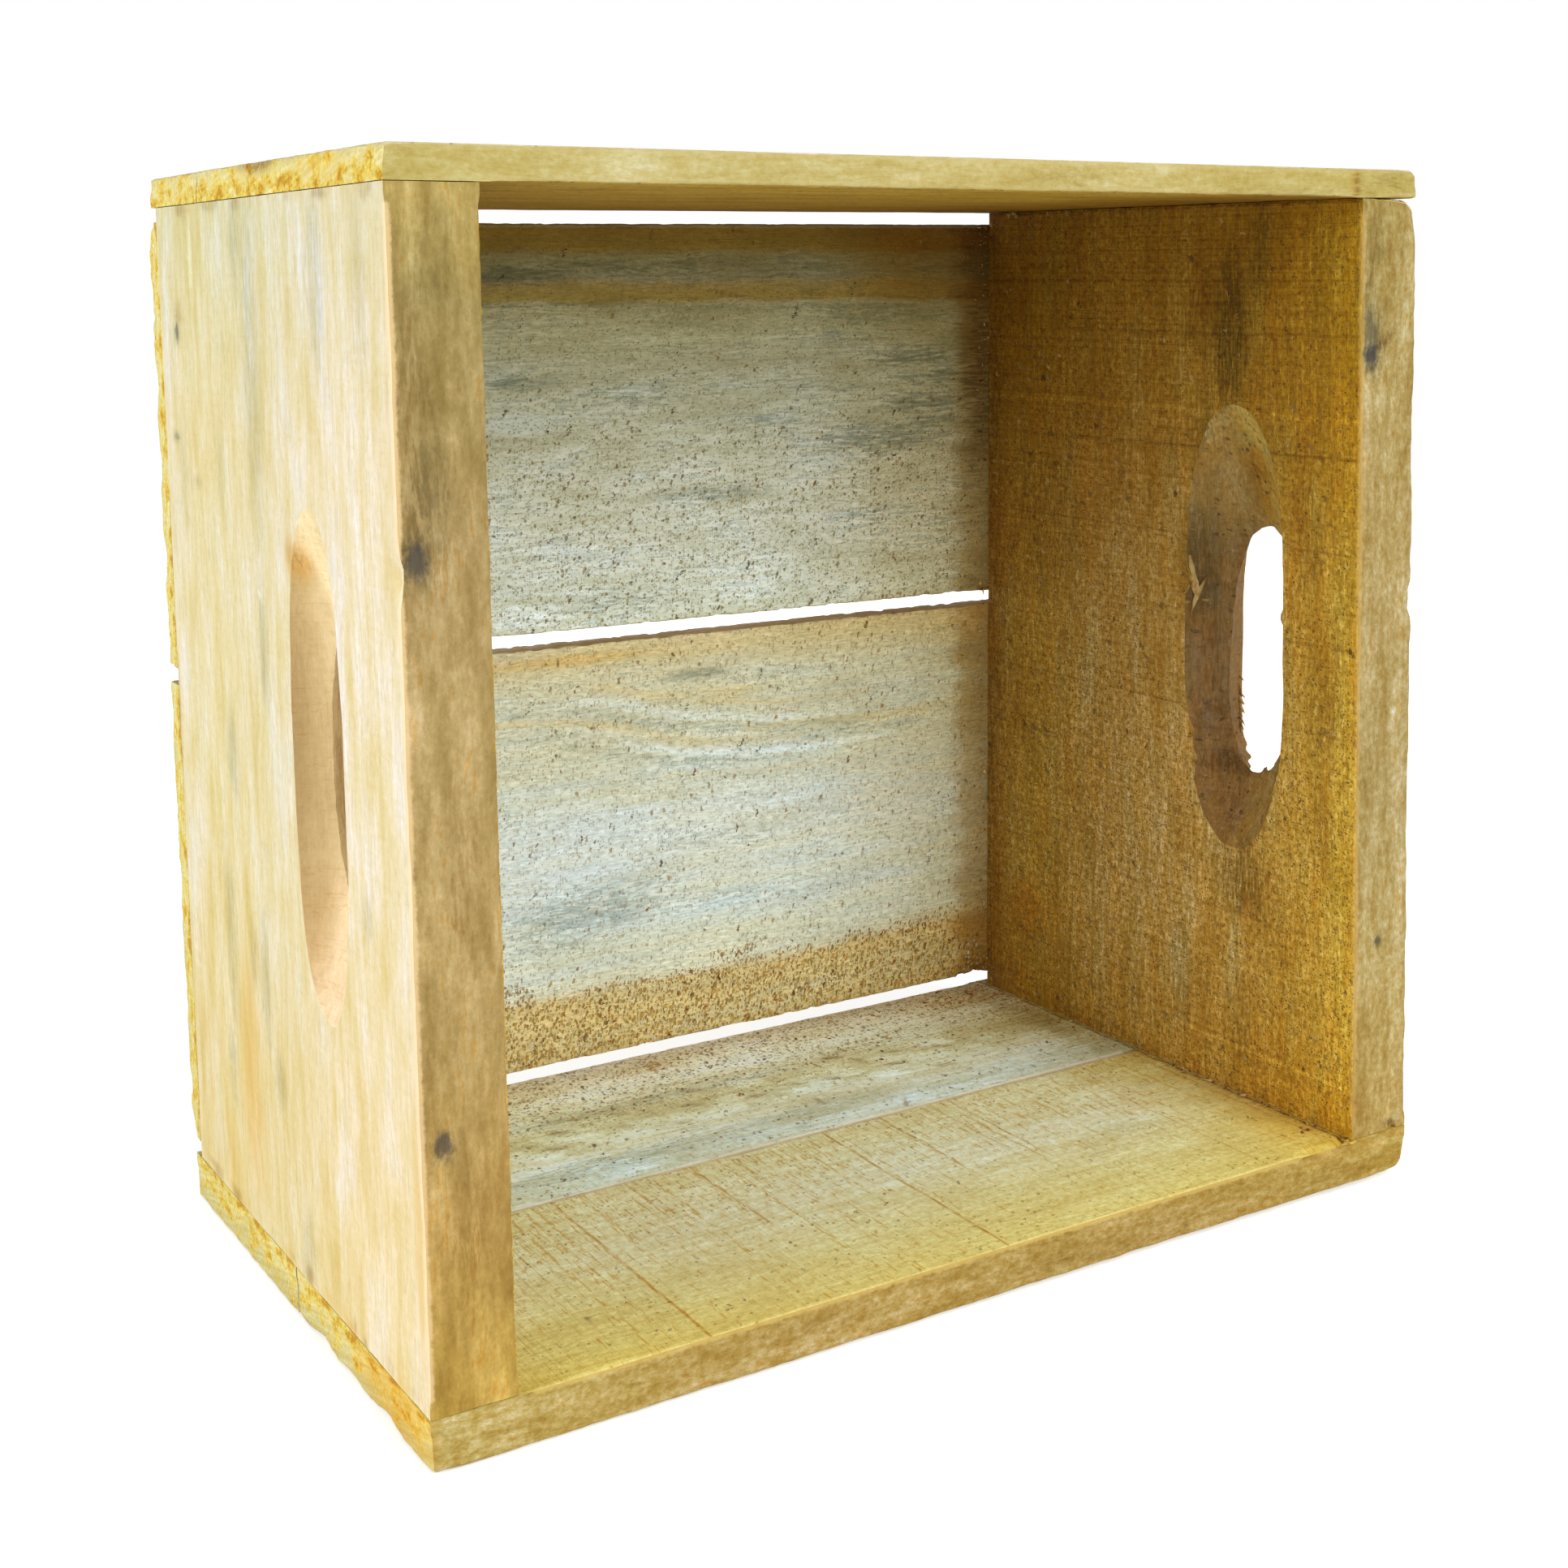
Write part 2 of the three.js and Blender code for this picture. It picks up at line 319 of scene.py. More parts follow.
def nail_cutter(names):
    """All the bores of the named nails, in one mesh."""
    points, faces = np.zeros((0, 3)), []
    for name in names:
        head, out = NAILS[name]
        bore, bore_faces = lathe(BORE_PROFILE, 20)
        bore = turned(bore, out) + head
        bore = bore + 0.12 * np.stack([noise(bore, 2.0, 50 + n) for n in range(3)], axis=1)
        faces += [[i + len(points) for i in face] for face in bore_faces]
        points = np.concatenate([points, bore])
    return mesh_object("cutter", points, faces)


# Boards

# Axes along the grain, across it and through the board, for each way that a board lies
LIES = {"base": (0, 2, 1), "side": (0, 1, 2), "panel": (2, 1, 0)}
# Skins of a board, in the order of its material slots
WIDE_LOW, WIDE_HIGH, NARROW_EDGE, BOARD_END, HOLD_CUT, SAWDUST, SPLINTER = range(7)
# Kinds of marks
MARK_KINDS = 5
GREY, BROWN, PALE, IRON, ORANGE = range(MARK_KINDS)
NAIL_STAIN = 4.5
SEAM_RADIUS = 0.02
# Sizes along, across and into the board, and depths of the waves in its faces
LONG_WAVES, LONG_DEPTH = (70, 16, 16), 0.22
SMALL_WAVES, SMALL_DEPTH = (14, 2.5, 2.5), 0.10
CRUMBLE_DEPTH = 0.6
# Largest rounding of an arris, as a share of the board's thickness
LARGEST_RADIUS = 0.48
# Spans of minus the distance over which an arris gets worn, is kept to its own edge, or lies tight on a board
ARRIS_WEAR, ARRIS_KEPT, TIGHT_SPAN = (-3.2, -0.4), (-7, -3.5), (-6, -2.5)
SHARP_WOOD, SHARP_STEEL = 38, 50
FACE_RELIEF, FINE_RELIEF = 0.0004, 0.0002


def store(mesh, place, low, high, spec):
    """Keeps what the materials need to know: each point's wear, and its stains, some of which are painted shade and
    painted reflected light in the corners by the right panel.
    """
    from_low, to_high = place - low, high - place
    if "back_edge" in spec:
        to_high[:, 1] = spec["back_edge"](place[:, 0]) - place[:, 1]
    if "front_edge" in spec:
        from_low[:, 1] = place[:, 1] - spec["front_edge"](place[:, 0])
    depth = np.minimum(from_low, to_high)
    second = np.sort(depth, axis=1)[:, 1]
    arris = smooth(-second, *ARRIS_WEAR) * (1 - tightness(place, spec))
    for axis, at in spec.get("arris_at", ()):
        arris = arris * smooth(-np.abs(place[:, axis] - at), *ARRIS_KEPT)
    along, across, _ = LIES[spec["lie"]]
    marks = np.zeros((len(place), MARK_KINDS))
    for kind, centre, reach, amount, *angle in spec.get("marks", ()):
        offset = place - centre
        if angle:
            u, v = offset[:, along].copy(), offset[:, across].copy()
            cos, sin = math.cos(angle[0]), math.sin(angle[0])
            offset[:, along], offset[:, across] = cos * u + sin * v, cos * v - sin * u
        far = np.linalg.norm(offset / reach, axis=1)
        marks[:, kind] = np.maximum(marks[:, kind], amount * smooth(1.6 - far, 0, 1.2))
    for name in spec["nail_list"]:
        head, out = NAILS[name]
        far = np.linalg.norm((place - head) / NAIL_STAIN, axis=1)
        marks[:, GREY] = np.maximum(marks[:, GREY], 0.75 * smooth(1.7 - far, 0, 1))
    mesh.attributes.new("arris", "FLOAT", "POINT").data.foreach_set("value", arris)
    for name, channels in (("marks", (GREY, BROWN, PALE)), ("spots", (IRON, ORANGE))):
        colours = np.tile((0.0, 0.0, 0.0, 1.0), (len(place), 1))
        colours[:, :len(channels)] = marks[:, channels]
        mesh.attributes.new(name, "FLOAT_COLOR", "POINT").data.foreach_set("color", colours.ravel())


def tightness(points, spec):
    """1 where a board lies against another one, so that its arris there is sharp and not worn."""
    near = np.zeros(len(points))
    for axis, at, beyond in spec.get("tight", ()):
        share = smooth(-np.abs(points[:, axis] - at), *TIGHT_SPAN)
        near = np.maximum(near, share * (np.abs(points[:, 0]) > beyond))
    for x, y, z, reach in spec.get("loose", ()):
        near = near * smooth(np.linalg.norm(points - (x, y, z), axis=1) / reach, 0.5, 1.0)
    return near


CRUMB = [(-1, 0, 0), (1, 0, 0), (0, -1, 0), (0, 1, 0), (0, 0, -0.8), (0, 0, 0.8)]
CRUMB_FACES = [(0, 2, 5), (2, 1, 5), (1, 3, 5), (3, 0, 5), (2, 0, 4), (1, 2, 4), (3, 1, 4), (0, 3, 4)]
CRUMB_MARGIN = 1.2
CRUMB_SIZES = 0.18, 0.55
CRUMB_SINK = 0.15


def dust_points(spots, low, high, top, seed):
    """Small crumbs of sawdust on a wide face: (centre, reach, count) for each heap."""
    points, faces = [], []
    random = np.random.default_rng(seed)
    axis, level, sign = top
    for centre, reach, count in spots:
        spot = np.array(centre) + random.normal(size=(count, 3)) * reach
        spot = np.clip(spot, low + CRUMB_MARGIN, high - CRUMB_MARGIN)
        spot[:, axis] = level
        for at in spot:
            size = random.uniform(*CRUMB_SIZES) * (1 + 1.2 * (random.random() < 0.12))
            shape = random.normal(size=(6, 3)) * 0.18 + np.array(CRUMB)
            shape *= size * random.uniform((0.5, 0.5, 0.5), (2.2, 1.2, 0.9))
            angle = random.uniform(0, math.pi)
            turn = np.array(Matrix.Rotation(angle, 3, "XYZ"[axis]))
            start = len(points)
            lift = np.zeros(3)
            lift[axis] = sign * size * 0.3
            points += list(shape @ turn.T + at + lift)
            faces += [[start + n for n in face] for face in CRUMB_FACES]
    return points, faces


def add_dust(thing, spec, low, high):
    """Joins the board's sawdust to its mesh."""
    wide = LIES[spec["lie"]][2]
    sign = spec["dust_side"]
    level = (high if sign > 0 else low)[wide] - sign * CRUMB_SINK
    join_pieces(thing, *dust_points(spec["dust"], low, high, (wide, level, sign), spec["seed"] + 900), SAWDUST)


def join_pieces(thing, points, faces, kind):
    """Joins small closed pieces to the board's mesh, with the skin of that kind."""
    pieces = mesh_object("pieces", np.array(points), faces)
    pieces.data.materials.append(None)
    pieces.data.polygons.foreach_set("material_index", np.full(len(faces), kind))
    joined = bmesh.new()
    joined.from_mesh(thing.data)
    joined.from_mesh(pieces.data)
    joined.to_mesh(thing.data)
    joined.free()
    bpy.data.objects.remove(pieces)


SLIVER_PROFILE = [(0, 0), (0.36, 0.12), (0.5, 0.38), (0.42, 0.62), (0.2, 0.86), (0, 1)]


def add_slivers(thing, slivers, seed):
    """Joins torn fibres to the board: (start, end, width, bow towards -x) for each."""
    all_points, all_faces = [], []
    for number, (start, end, width, bow) in enumerate(slivers):
        start, run = np.array(start, float), np.array(end, float) - start
        points, faces = lathe([(radius * width, at) for radius, at in SLIVER_PROFILE], 6)
        along = points[:, 2].copy()
        points[:, 2] *= np.linalg.norm(run)
        points = turned(points, run / np.linalg.norm(run)) + start
        points[:, 0] -= bow * np.sin(math.pi * along)
        points += 0.16 * width * np.stack([noise(points, 0.9, seed + number + n) for n in (0, 40, 80)], axis=1)
        all_faces += [[n + len(all_points) for n in face] for face in faces]
        all_points += list(points)
    join_pieces(thing, all_points, all_faces, SPLINTER)


def worn_surface(spec, low, high):
    """Points and quads of a board with worn arrises, uneven faces, dents and crumbled ends, and the quads' skins."""
    along, across, through = LIES[spec["lie"]]
    seed = spec["seed"]
    points, faces, sides = lattice_box([lines(low[n], high[n], spec["step"][n]) for n in range(3)])
    radius = spec["radius"] * (1 + 0.35 * noise(points, 7, seed) + 0.3 * noise(points, 2.2, seed + 1))
    for x, y, z, reach, extra in spec.get("worn", ()):
        far = np.linalg.norm((points - (x, y, z)) / reach, axis=1)
        radius = radius + extra * smooth(1 - far, 0, 1)
    tight = tightness(points, spec)
    radius = radius + (SEAM_RADIUS - radius) * tight
    radius = np.clip(radius, SEAM_RADIUS, min(high - low) * LARGEST_RADIUS)
    points, facing = rounded(points, low, high, radius)
    # uneven faces: long soft waves along the grain, small ones across it, only ever inwards
    long_waves, small_waves = np.zeros(3), np.zeros(3)
    long_waves[[along, across, through]] = LONG_WAVES
    small_waves[[along, across, through]] = SMALL_WAVES
    depth = LONG_DEPTH * (1 + noise(points, long_waves, seed + 2)) / 2
    depth = depth + SMALL_DEPTH * (1 + noise(points, small_waves, seed + 3)) / 2
    for x, y, z, reach, extra in spec.get("dents", ()):
        far = np.linalg.norm((points - (x, y, z)) / reach, axis=1)
        jag = 1 + 0.5 * noise(points, 1.6, seed + 5)
        depth = depth + extra * smooth(1.15 - far, 0, 0.5) * jag
    # crumbly ends of the grain
    crumble = np.clip(rough_noise(points, 3.2, seed + 11), 0, 1) + 0.5 * (1 + noise(points, 9.0, seed + 15)) / 2
    depth = depth + CRUMBLE_DEPTH * crumble * np.abs(facing[:, along]) ** 2 * (1 - tightness(points, spec))
    points = points - facing * depth[:, None]
    if "fray" in spec:
        torn = np.clip(rough_noise(points, (3.5, 40, 9), seed + 7) - 0.1, 0, 1)
        torn = torn + 0.3 * (1 + noise(points, (11, 40, 9), seed + 9)) / 2
        edge = np.abs(facing[:, across]) > 0.3
        points[:, across] -= np.sign(facing[:, across]) * edge * torn * spec["fray"]
    if "shape" in spec:
        points = spec["shape"](points, low, high)
    skins = np.where(sides[:, 0] == along, BOARD_END, np.where(sides[:, 0] == across, NARROW_EDGE, sides[:, 1]))
    return points, faces, skins


def shade_smooth(mesh, sharp):
    """Smooth shading, with edges above an angle in degrees left sharp."""
    mesh.polygons.foreach_set("use_smooth", np.ones(len(mesh.polygons), bool))
    mesh.set_sharp_from_angle(angle=math.radians(sharp))


def build_board(node, spec):
    """Detailed board that stands for a CAD node."""
    low, high = board_box(node)
    for axis, grow_low, grow_high in spec["grow"]:
        low[axis] -= grow_low
        high[axis] += grow_high
    spec["nail_list"] = [name for name in NAILS if spec.get("nails", node) in name]
    points, faces, kinds = worn_surface(spec, low, high)
    thing = mesh_object(node + "_wood", points, faces)
    names = (*spec["skins"], "end_grain_" + spec["lie"], spec.get("hold_skin", "hold_left"), "sawdust", "splinter")
    skins = [MATERIALS[name] for name in names]
    for skin in skins:
        thing.data.materials.append(skin)
    thing.data.polygons.foreach_set("material_index", kinds)
    for hollow in spec.get("hollows", ()):
        cutter = drum_cutter(*hollow)
        for skin in skins:
            cutter.data.materials.append(skin)
        cutter.data.polygons.foreach_set("material_index", np.full(len(cutter.data.polygons), HOLD_CUT))
        cut(thing, cutter)
    cut(thing, nail_cutter(spec["nail_list"]))
    if "dust" in spec:
        add_dust(thing, spec, low, high)
    if "slivers" in spec:
        add_slivers(thing, spec["slivers"], spec["seed"] + 700)
    mesh = thing.data
    place = np.empty(len(mesh.vertices) * 3)
    mesh.vertices.foreach_get("co", place)
    place = place.reshape(-1, 3) / MM
    mesh.attributes.new("place", "FLOAT_VECTOR", "POINT").data.foreach_set("vector", place.ravel())
    store(mesh, place, low, high, spec)
    mesh.vertices.foreach_set("co", (racked(place) * MM).ravel())
    shade_smooth(mesh, SHARP_WOOD)
    mesh.update()
    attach(thing, "root")
    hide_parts(node)


def slanted(front_left, front_right, back_left, back_right, axis):
    """Board whose two long edges run at a slant: the places of its edges at the left and the right end."""
    def shape(points, low, high):
        t = (points[:, 0] + HALF_LENGTH) / (2 * HALF_LENGTH)
        first = front_left + (front_right - front_left) * t
        last = back_left + (back_right - back_left) * t
        share = (points[:, axis] - low[axis]) / (high[axis] - low[axis])
        points[:, axis] = first + share * (last - first)
        return points
    return shape


# Wood materials

def tone(*channels):
    """Linear colour of an 8-bit one."""
    shares = [channel / 255 for channel in channels]
    return tuple(c / 12.92 if c <= 0.04045 else ((c + 0.055) / 1.055) ** 2.4 for c in shares)


LARGEST_GAIN = 10


def tones(*rows):
    """Stops of a ramp from (place, red, green, blue). Small values are linear gains, and the others 8-bit tones."""
    return [(place, tuple(colour) if max(colour) < LARGEST_GAIN else tone(*colour)) for place, *colour in rows]


class Graph:
    """Node tree of a material or of the world, written as sums."""

    def __init__(self, owner):
        owner.use_nodes = True
        self.owner = owner
        self.tree = owner.node_tree
        self.shader = self.tree.nodes.get("Principled BSDF")

    def put(self, socket, value):
        if isinstance(value, bpy.types.NodeSocket):
            self.tree.links.new(value, socket)
        elif isinstance(value, tuple) and socket.type == "RGBA":
            socket.default_value = (*value[:3], 1)
        else:
            socket.default_value = value

    def node(self, kind, inputs, **settings):
        node = self.tree.nodes.new(kind)
        for key, value in settings.items():
            setattr(node, key, value)
        for key, value in inputs.items():
            self.put(node.inputs[key], value)
        return node

    def math(self, operation, a, b=0.0):
        return self.node("ShaderNodeMath", {0: a, 1: b}, operation=operation).outputs[0]

    def add(self, a, b):
        return self.math("ADD", a, b)

    def times(self, a, b):
        return self.math("MULTIPLY", a, b)

    def around(self, value, gain):
        """Noise around 0 instead of around a half, times a gain."""
        return self.times(self.add(value, -0.5), gain)

    def attribute(self, name, output="Vector"):
        return self.node("ShaderNodeAttribute", {}, attribute_name=name).outputs[output]

    def split(self, vector):
        return self.node("ShaderNodeSeparateXYZ", {0: vector}).outputs[:]

    def join(self, x, y, z):
        return self.node("ShaderNodeCombineXYZ", {0: x, 1: y, 2: z}).outputs[0]

    def scaled(self, vector, sizes, shift=(0.0, 0.0, 0.0)):
        """Vector divided by feature sizes in mm, and shifted."""
        inverse = tuple(1 / s for s in sizes)
        settings = {0: vector, 1: inverse, 2: shift}
        return self.node("ShaderNodeVectorMath", settings, operation="MULTIPLY_ADD").outputs[0]

    def noise(self, vector, detail, roughness, flat=False):
        settings = {"Vector": vector, "Scale": 1.0, "Detail": detail, "Roughness": roughness}
        return self.node("ShaderNodeTexNoise", settings, noise_dimensions="2D" if flat else "3D").outputs[0]

    def span(self, value, low, high, to_low=0.0, to_high=1.0):
        """Value taken smoothly from the range low to high to another range."""
        settings = {"Value": value, "From Min": low, "From Max": high, "To Min": to_low, "To Max": to_high}
        return self.node("ShaderNodeMapRange", settings, interpolation_type="SMOOTHSTEP").outputs[0]

    def mix(self, share, a, b, blend="MIX"):
        return self.node("ShaderNodeMix", {0: share, 6: a, 7: b}, data_type="RGBA", blend_type=blend).outputs[2]

    def channels(self, colour):
        return self.node("ShaderNodeSeparateColor", {0: colour}).outputs[:3]

    def ramp(self, value, stops):
        """Colour along stops of (place, colour)."""
        low, high = stops[0][0], stops[-1][0]
        share = self.node("ShaderNodeMapRange", {"Value": value, "From Min": low, "From Max": high}).outputs[0]
        node = self.node("ShaderNodeValToRGB", {0: share})
        elements = node.color_ramp.elements
        while len(elements) < len(stops):
            elements.new(0.5)
        for element, (place, colour) in zip(elements, stops):
            element.position = (place - low) / (high - low)
            element.color = (*colour, 1)
        return node.outputs[0]

    def bump(self, strength, distance, height):
        return self.node("ShaderNodeBump", {"Strength": strength, "Distance": distance, "Height": height}).outputs[0]

    def seen_or_lit(self, seen, lit):
        """Value that is seen by rays from the camera, in gloss and through glass, and lit for the rest."""
        path = self.node("ShaderNodeLightPath", {}).outputs
        looked = self.math("MAXIMUM", path["Is Camera Ray"], path["Is Glossy Ray"])
        looked = self.math("MAXIMUM", looked, path["Is Transmission Ray"])
        return self.node("ShaderNodeMapRange", {"Value": looked, "To Min": lit, "To Max": seen}).outputs[0]

    def finish(self, colour, roughness, bump, specular):
        """Puts the main values into the shader. Returns the material."""
        sockets = self.shader.inputs
        self.put(sockets["Base Color"], colour)
        self.put(sockets["Roughness"], roughness)
        self.put(sockets["Normal"], bump)
        self.put(sockets["Specular IOR Level"], specular)
        return self.owner


SPECK_JAG = 1.9


class Wood:
    """Coordinates of one face of a board: a runs along the grain, b across it on the face, c into the board."""

    def __init__(self, g, spec, order=(0, 1, 2), flat=True):
        place = g.split(g.attribute("place"))
        axes = [LIES[spec["lie"]][n] for n in order]
        self.g, self.flat = g, flat
        self.a, self.b, self.c = (place[n] for n in axes)
        self.shift = spec["seed"] * 37.0
        self.straight = g.join(self.a, self.b, self.c)
        sway = g.add(self.noise((95, 34, 34), 1, 0.5, 0.0), -0.5)
        self.waver = g.add(self.noise((26, 9, 9), 1, 0.5, 5.0), -0.5)
        self.bend = g.add(g.times(sway, spec.get("sway", 9.0)), g.times(self.waver, 2.6))
        self.bent = g.join(self.a, g.add(self.b, self.bend), g.add(self.c, g.times(self.bend, 0.6)))

    def noise(self, size, detail, roughness, offset, bent=False):
        vector = self.g.scaled(self.bent if bent else self.straight, size, (self.shift, offset, 0))
        return self.g.noise(vector, detail, roughness, self.flat)

    def specks(self, size_a, size_b, offset, jag_a, jag_b):
        """Scattered cells: distance from the middle of each one, and three chances of its own."""
        g = self.g
        u = g.add(g.times(self.a, 1 / size_a), self.shift + offset)
        v = g.add(g.times(self.b, 1 / size_b), offset)
        u, v = g.add(u, g.times(jag_a, SPECK_JAG)), g.add(v, g.times(jag_b, SPECK_JAG))
        node = g.node("ShaderNodeTexVoronoi", {"Vector": g.join(u, v, 0.0), "Scale": 1.0}, voronoi_dimensions="2D")
        return node.outputs["Distance"], g.channels(node.outputs["Color"])


def swing(g, colour, value, gains):
    """Colour made deeper where the value is low and paler where it is high, by a gain for each channel."""
    stops = [(n, tuple(math.exp(k * (n - 0.5)) for k in gains)) for n in (0.2, 0.35, 0.5, 0.65, 0.8)]
    return g.mix(1.0, colour, g.ramp(value, stops), "MULTIPLY")


def textured(g, spec, colour, layers):
    """Colour made uneven by the cloudy, the grained and the gritty noise."""
    for layer, gain in zip(layers, spec["swing"]):
        colour = swing(g, colour, layer, tint(spec, gain))
    return colour


def tint(spec, gain):
    """Gains for red, green and blue by which noise changes the colour of a face."""
    return tuple(gain * channel for channel in spec["tint"])


def crumb_share(g, distance, chances, density, largest):
    """1 inside the cells that hold a crumb: density is the share of cells, largest the reach in cells."""
    present = g.math("LESS_THAN", chances[0], density)
    size = g.add(distance, g.times(chances[1], largest * 0.7))
    return g.times(present, g.span(size, largest * 0.82, largest, 1.0, 0.0))


def stained(g, colour, ragged, dashes, soft=0.0):
    """Colour with the marks that the mesh carries, stains and some painted corner shade and reflected light: grey and
    brown ones in dashes, the others ragged.
    """
    grey, brown, pale = g.channels(g.attribute("marks", "Color"))
    iron, orange, _ = g.channels(g.attribute("spots", "Color"))
    for mask, mark_colour in ((grey, GREY_STAIN), (brown, BROWN_STAIN_AND_SHADE)):
        cover = g.span(g.add(dashes, g.times(mask, 0.20)), 0.52 - soft, 0.66 + soft, 0.25 + soft, 1.0)
        colour = g.mix(g.times(cover, mask), colour, mark_colour, "MULTIPLY")
    for mask, mark_colour, blend in ((orange, ORANGE_STAIN_AND_REFLECTION, "MULTIPLY"), (pale, PALE_STAIN, "MULTIPLY"),
                                     (iron, IRON_STAIN, "MIX")):
        cover = g.span(g.add(mask, g.around(ragged, 1.7)), 0.15, 0.85)
        colour = g.mix(g.times(cover, mask), colour, mark_colour, blend)
    return colour


def knotted(g, wood, spec, colour, ragged):
    """Colour with the small dark knots and iron stains of the face: (a, b, reach along, reach across, strength)."""
    for at_a, at_b, reach_a, reach_b, strength in spec.get("knots", ()):
        u, v = g.times(g.add(wood.a, -at_a), 1 / reach_a), g.times(g.add(wood.b, -at_b), 1 / reach_b)
        far = g.math("SQRT", g.add(g.times(u, u), g.times(v, v)))
        share = g.span(g.add(far, g.around(ragged, 2.2)), 0.35, 1.3, strength, 0.0)
        halo = g.span(g.add(far, g.around(ragged, 1.6)), 0.6, 2.3, 0.6 * strength, 0.0)
        colour = g.mix(halo, colour, GREY_STAIN, "MULTIPLY")
        colour = g.mix(share, colour, IRON_STAIN)
    return colour


def finished(g, spec, colour, height, polish):
    """Material of a face, with its bump and roughness."""
    bump = g.bump(spec.get("bump", 0.8), FACE_RELIEF, height)
    return g.finish(colour, g.span(polish, 0.3, 0.7, 0.70, 0.9), bump, 0.25)


def arris_worn(g, spec, colour, ragged, low):
    """Colour with the bare wood of worn arrises, which starts at a wear of low."""
    worn = g.span(g.add(g.attribute("arris", "Fac"), g.around(ragged, 0.9)), low, 0.85)
    return g.mix(g.times(worn, spec.get("arris", 0.6)), colour, spec["arris_colour"])


def field(g, wood, density, zones):
    """Share of cells with crumbs: the density, changed by spans of (axis, from, to, density there)."""
    value = density
    for axis, first, last, there in zones:
        at = g.add((wood.a, wood.b)[axis], g.times(wood.waver, 26.0))
        value = g.add(value, g.span(at, first, last, 0.0, there - density))
    return value


def saw_marked(g, wood, spec, colour, height, ragged):
    """Colour and height with strokes of the saw across the board, broken into short flecks of torn fibre, and with
    given lines, some cut by the saw and some painted shade.
    """
    pitch, depth, saw_colour, zones = spec["saw"]
    line = g.noise(g.scaled(wood.straight, (pitch, 260, 260), (wood.shift, 6, 0)), 2, 0.6, wood.flat)
    fleck_size = spec.get("fleck", (1.1, 4.2, 4.2))
    fleck = g.noise(g.scaled(wood.straight, fleck_size, (wood.shift, 8, 0)), 2, 0.6, wood.flat)
    level = field(g, wood, 0.0, zones)
    edge = g.add(g.add(fleck, g.around(line, 0.8)), g.times(level, 0.20))
    threshold = spec.get("fleck_edge", 0.63)
    share = g.span(edge, threshold, threshold + 0.09, 0.0, depth)
    colour = g.mix(share, colour, saw_colour, "MULTIPLY")
    colour = g.mix(g.span(line, 0.40, 0.30, 0.0, 0.5 * depth), colour, (1.06, 1.08, 1.14), "MULTIPLY")
    height = g.add(height, g.times(g.span(line, 0.35, 0.7), -0.7 * depth))
    jagged = g.span(g.add(fleck, g.times(ragged, 0.6)), 0.66, 0.84, 0.3, 1.0)
    for at, width, strength, first, last, line_colour in spec.get("saw_lines", ()):
        gap = g.math("ABSOLUTE", g.add(g.add(wood.a, -at), g.times(wood.waver, 0.9)))
        reach = g.times(g.span(wood.b, first, first + 30.0), g.span(wood.b, last - 25.0, last, 1.0, 0.0))
        share = g.times(g.times(g.span(gap, width * 0.25, width, 1.0, 0.0), reach), g.times(jagged, strength))
        colour = g.mix(share, colour, line_colour, "MULTIPLY")
    return colour, height


def sawn_face(name, spec):
    """Wide face of a board."""
    g = Graph(bpy.data.materials.new(name))
    wood = Wood(g, spec, flat=not spec.get("solid"))
    colour = g.ramp(g.add(wood.b, g.times(wood.bend, spec.get("zone_bend", 1.0))), spec["zones"])
    if "ends" in spec:
        colour = g.mix(1.0, colour, g.ramp(g.add(wood.a, g.times(wood.waver, 14.0)), spec["ends"]), "MULTIPLY")
    cloud = wood.noise((46, 13, 13), 2, 0.6, 3.0)
    grain = wood.noise(spec.get("grain", (36, 3.4, 3.4)), 5, 0.78, 9.0, bent=True)
    grit = wood.noise((2.6, 2.0, 2.0), 3, 0.72, 7.0)
    colour = textured(g, spec, colour, (cloud, grain, grit))
    if "hue" in spec:
        size, gains = spec["hue"]
        colour = swing(g, colour, wood.noise(size, 2, 0.55, 12.0, bent=True), gains)
    if "fibres" in spec:
        fibres = wood.noise((3.4, 0.62, 0.62), 2, 0.6, 2.0, bent=True)
        colour = swing(g, colour, fibres, tint(spec, spec["fibres"]))
    dashes = wood.noise((10, 1.1, 1.1), 3, 0.65, 4.0, bent=True)
    streaks = g.span(g.add(dashes, g.around(cloud, 0.9)), 0.55, 0.68, 0.0, spec["streaks"])
    colour = g.mix(streaks, colour, spec["streak_colour"], "MULTIPLY")
    ragged = g.add(g.times(grain, 0.55), g.times(grit, 0.45))
    colour = knotted(g, wood, spec, stained(g, colour, ragged, dashes, spec.get("soft", 0.0)), ragged)
    height = g.add(g.times(grain, 1.1), g.times(grit, 0.7))
    if "saw" in spec:
        colour, height = saw_marked(g, wood, spec, colour, height, ragged)
    for number, (size, largest, density, zones, pale, dark, strength) in enumerate(spec.get("specks", ())):
        size_b = size * spec.get("tall", 1.0)
        distance, chances = wood.specks(size * 1.1, size_b, 11.0 + 17.0 * number, ragged, grit)
        share = crumb_share(g, distance, chances, field(g, wood, density, zones), largest)
        colour = g.mix(g.times(share, strength), colour, g.mix(chances[2], dark, pale))
        height = g.add(height, g.times(share, 0.8))
    return finished(g, spec, arris_worn(g, spec, colour, ragged, 0.45), height, grain)


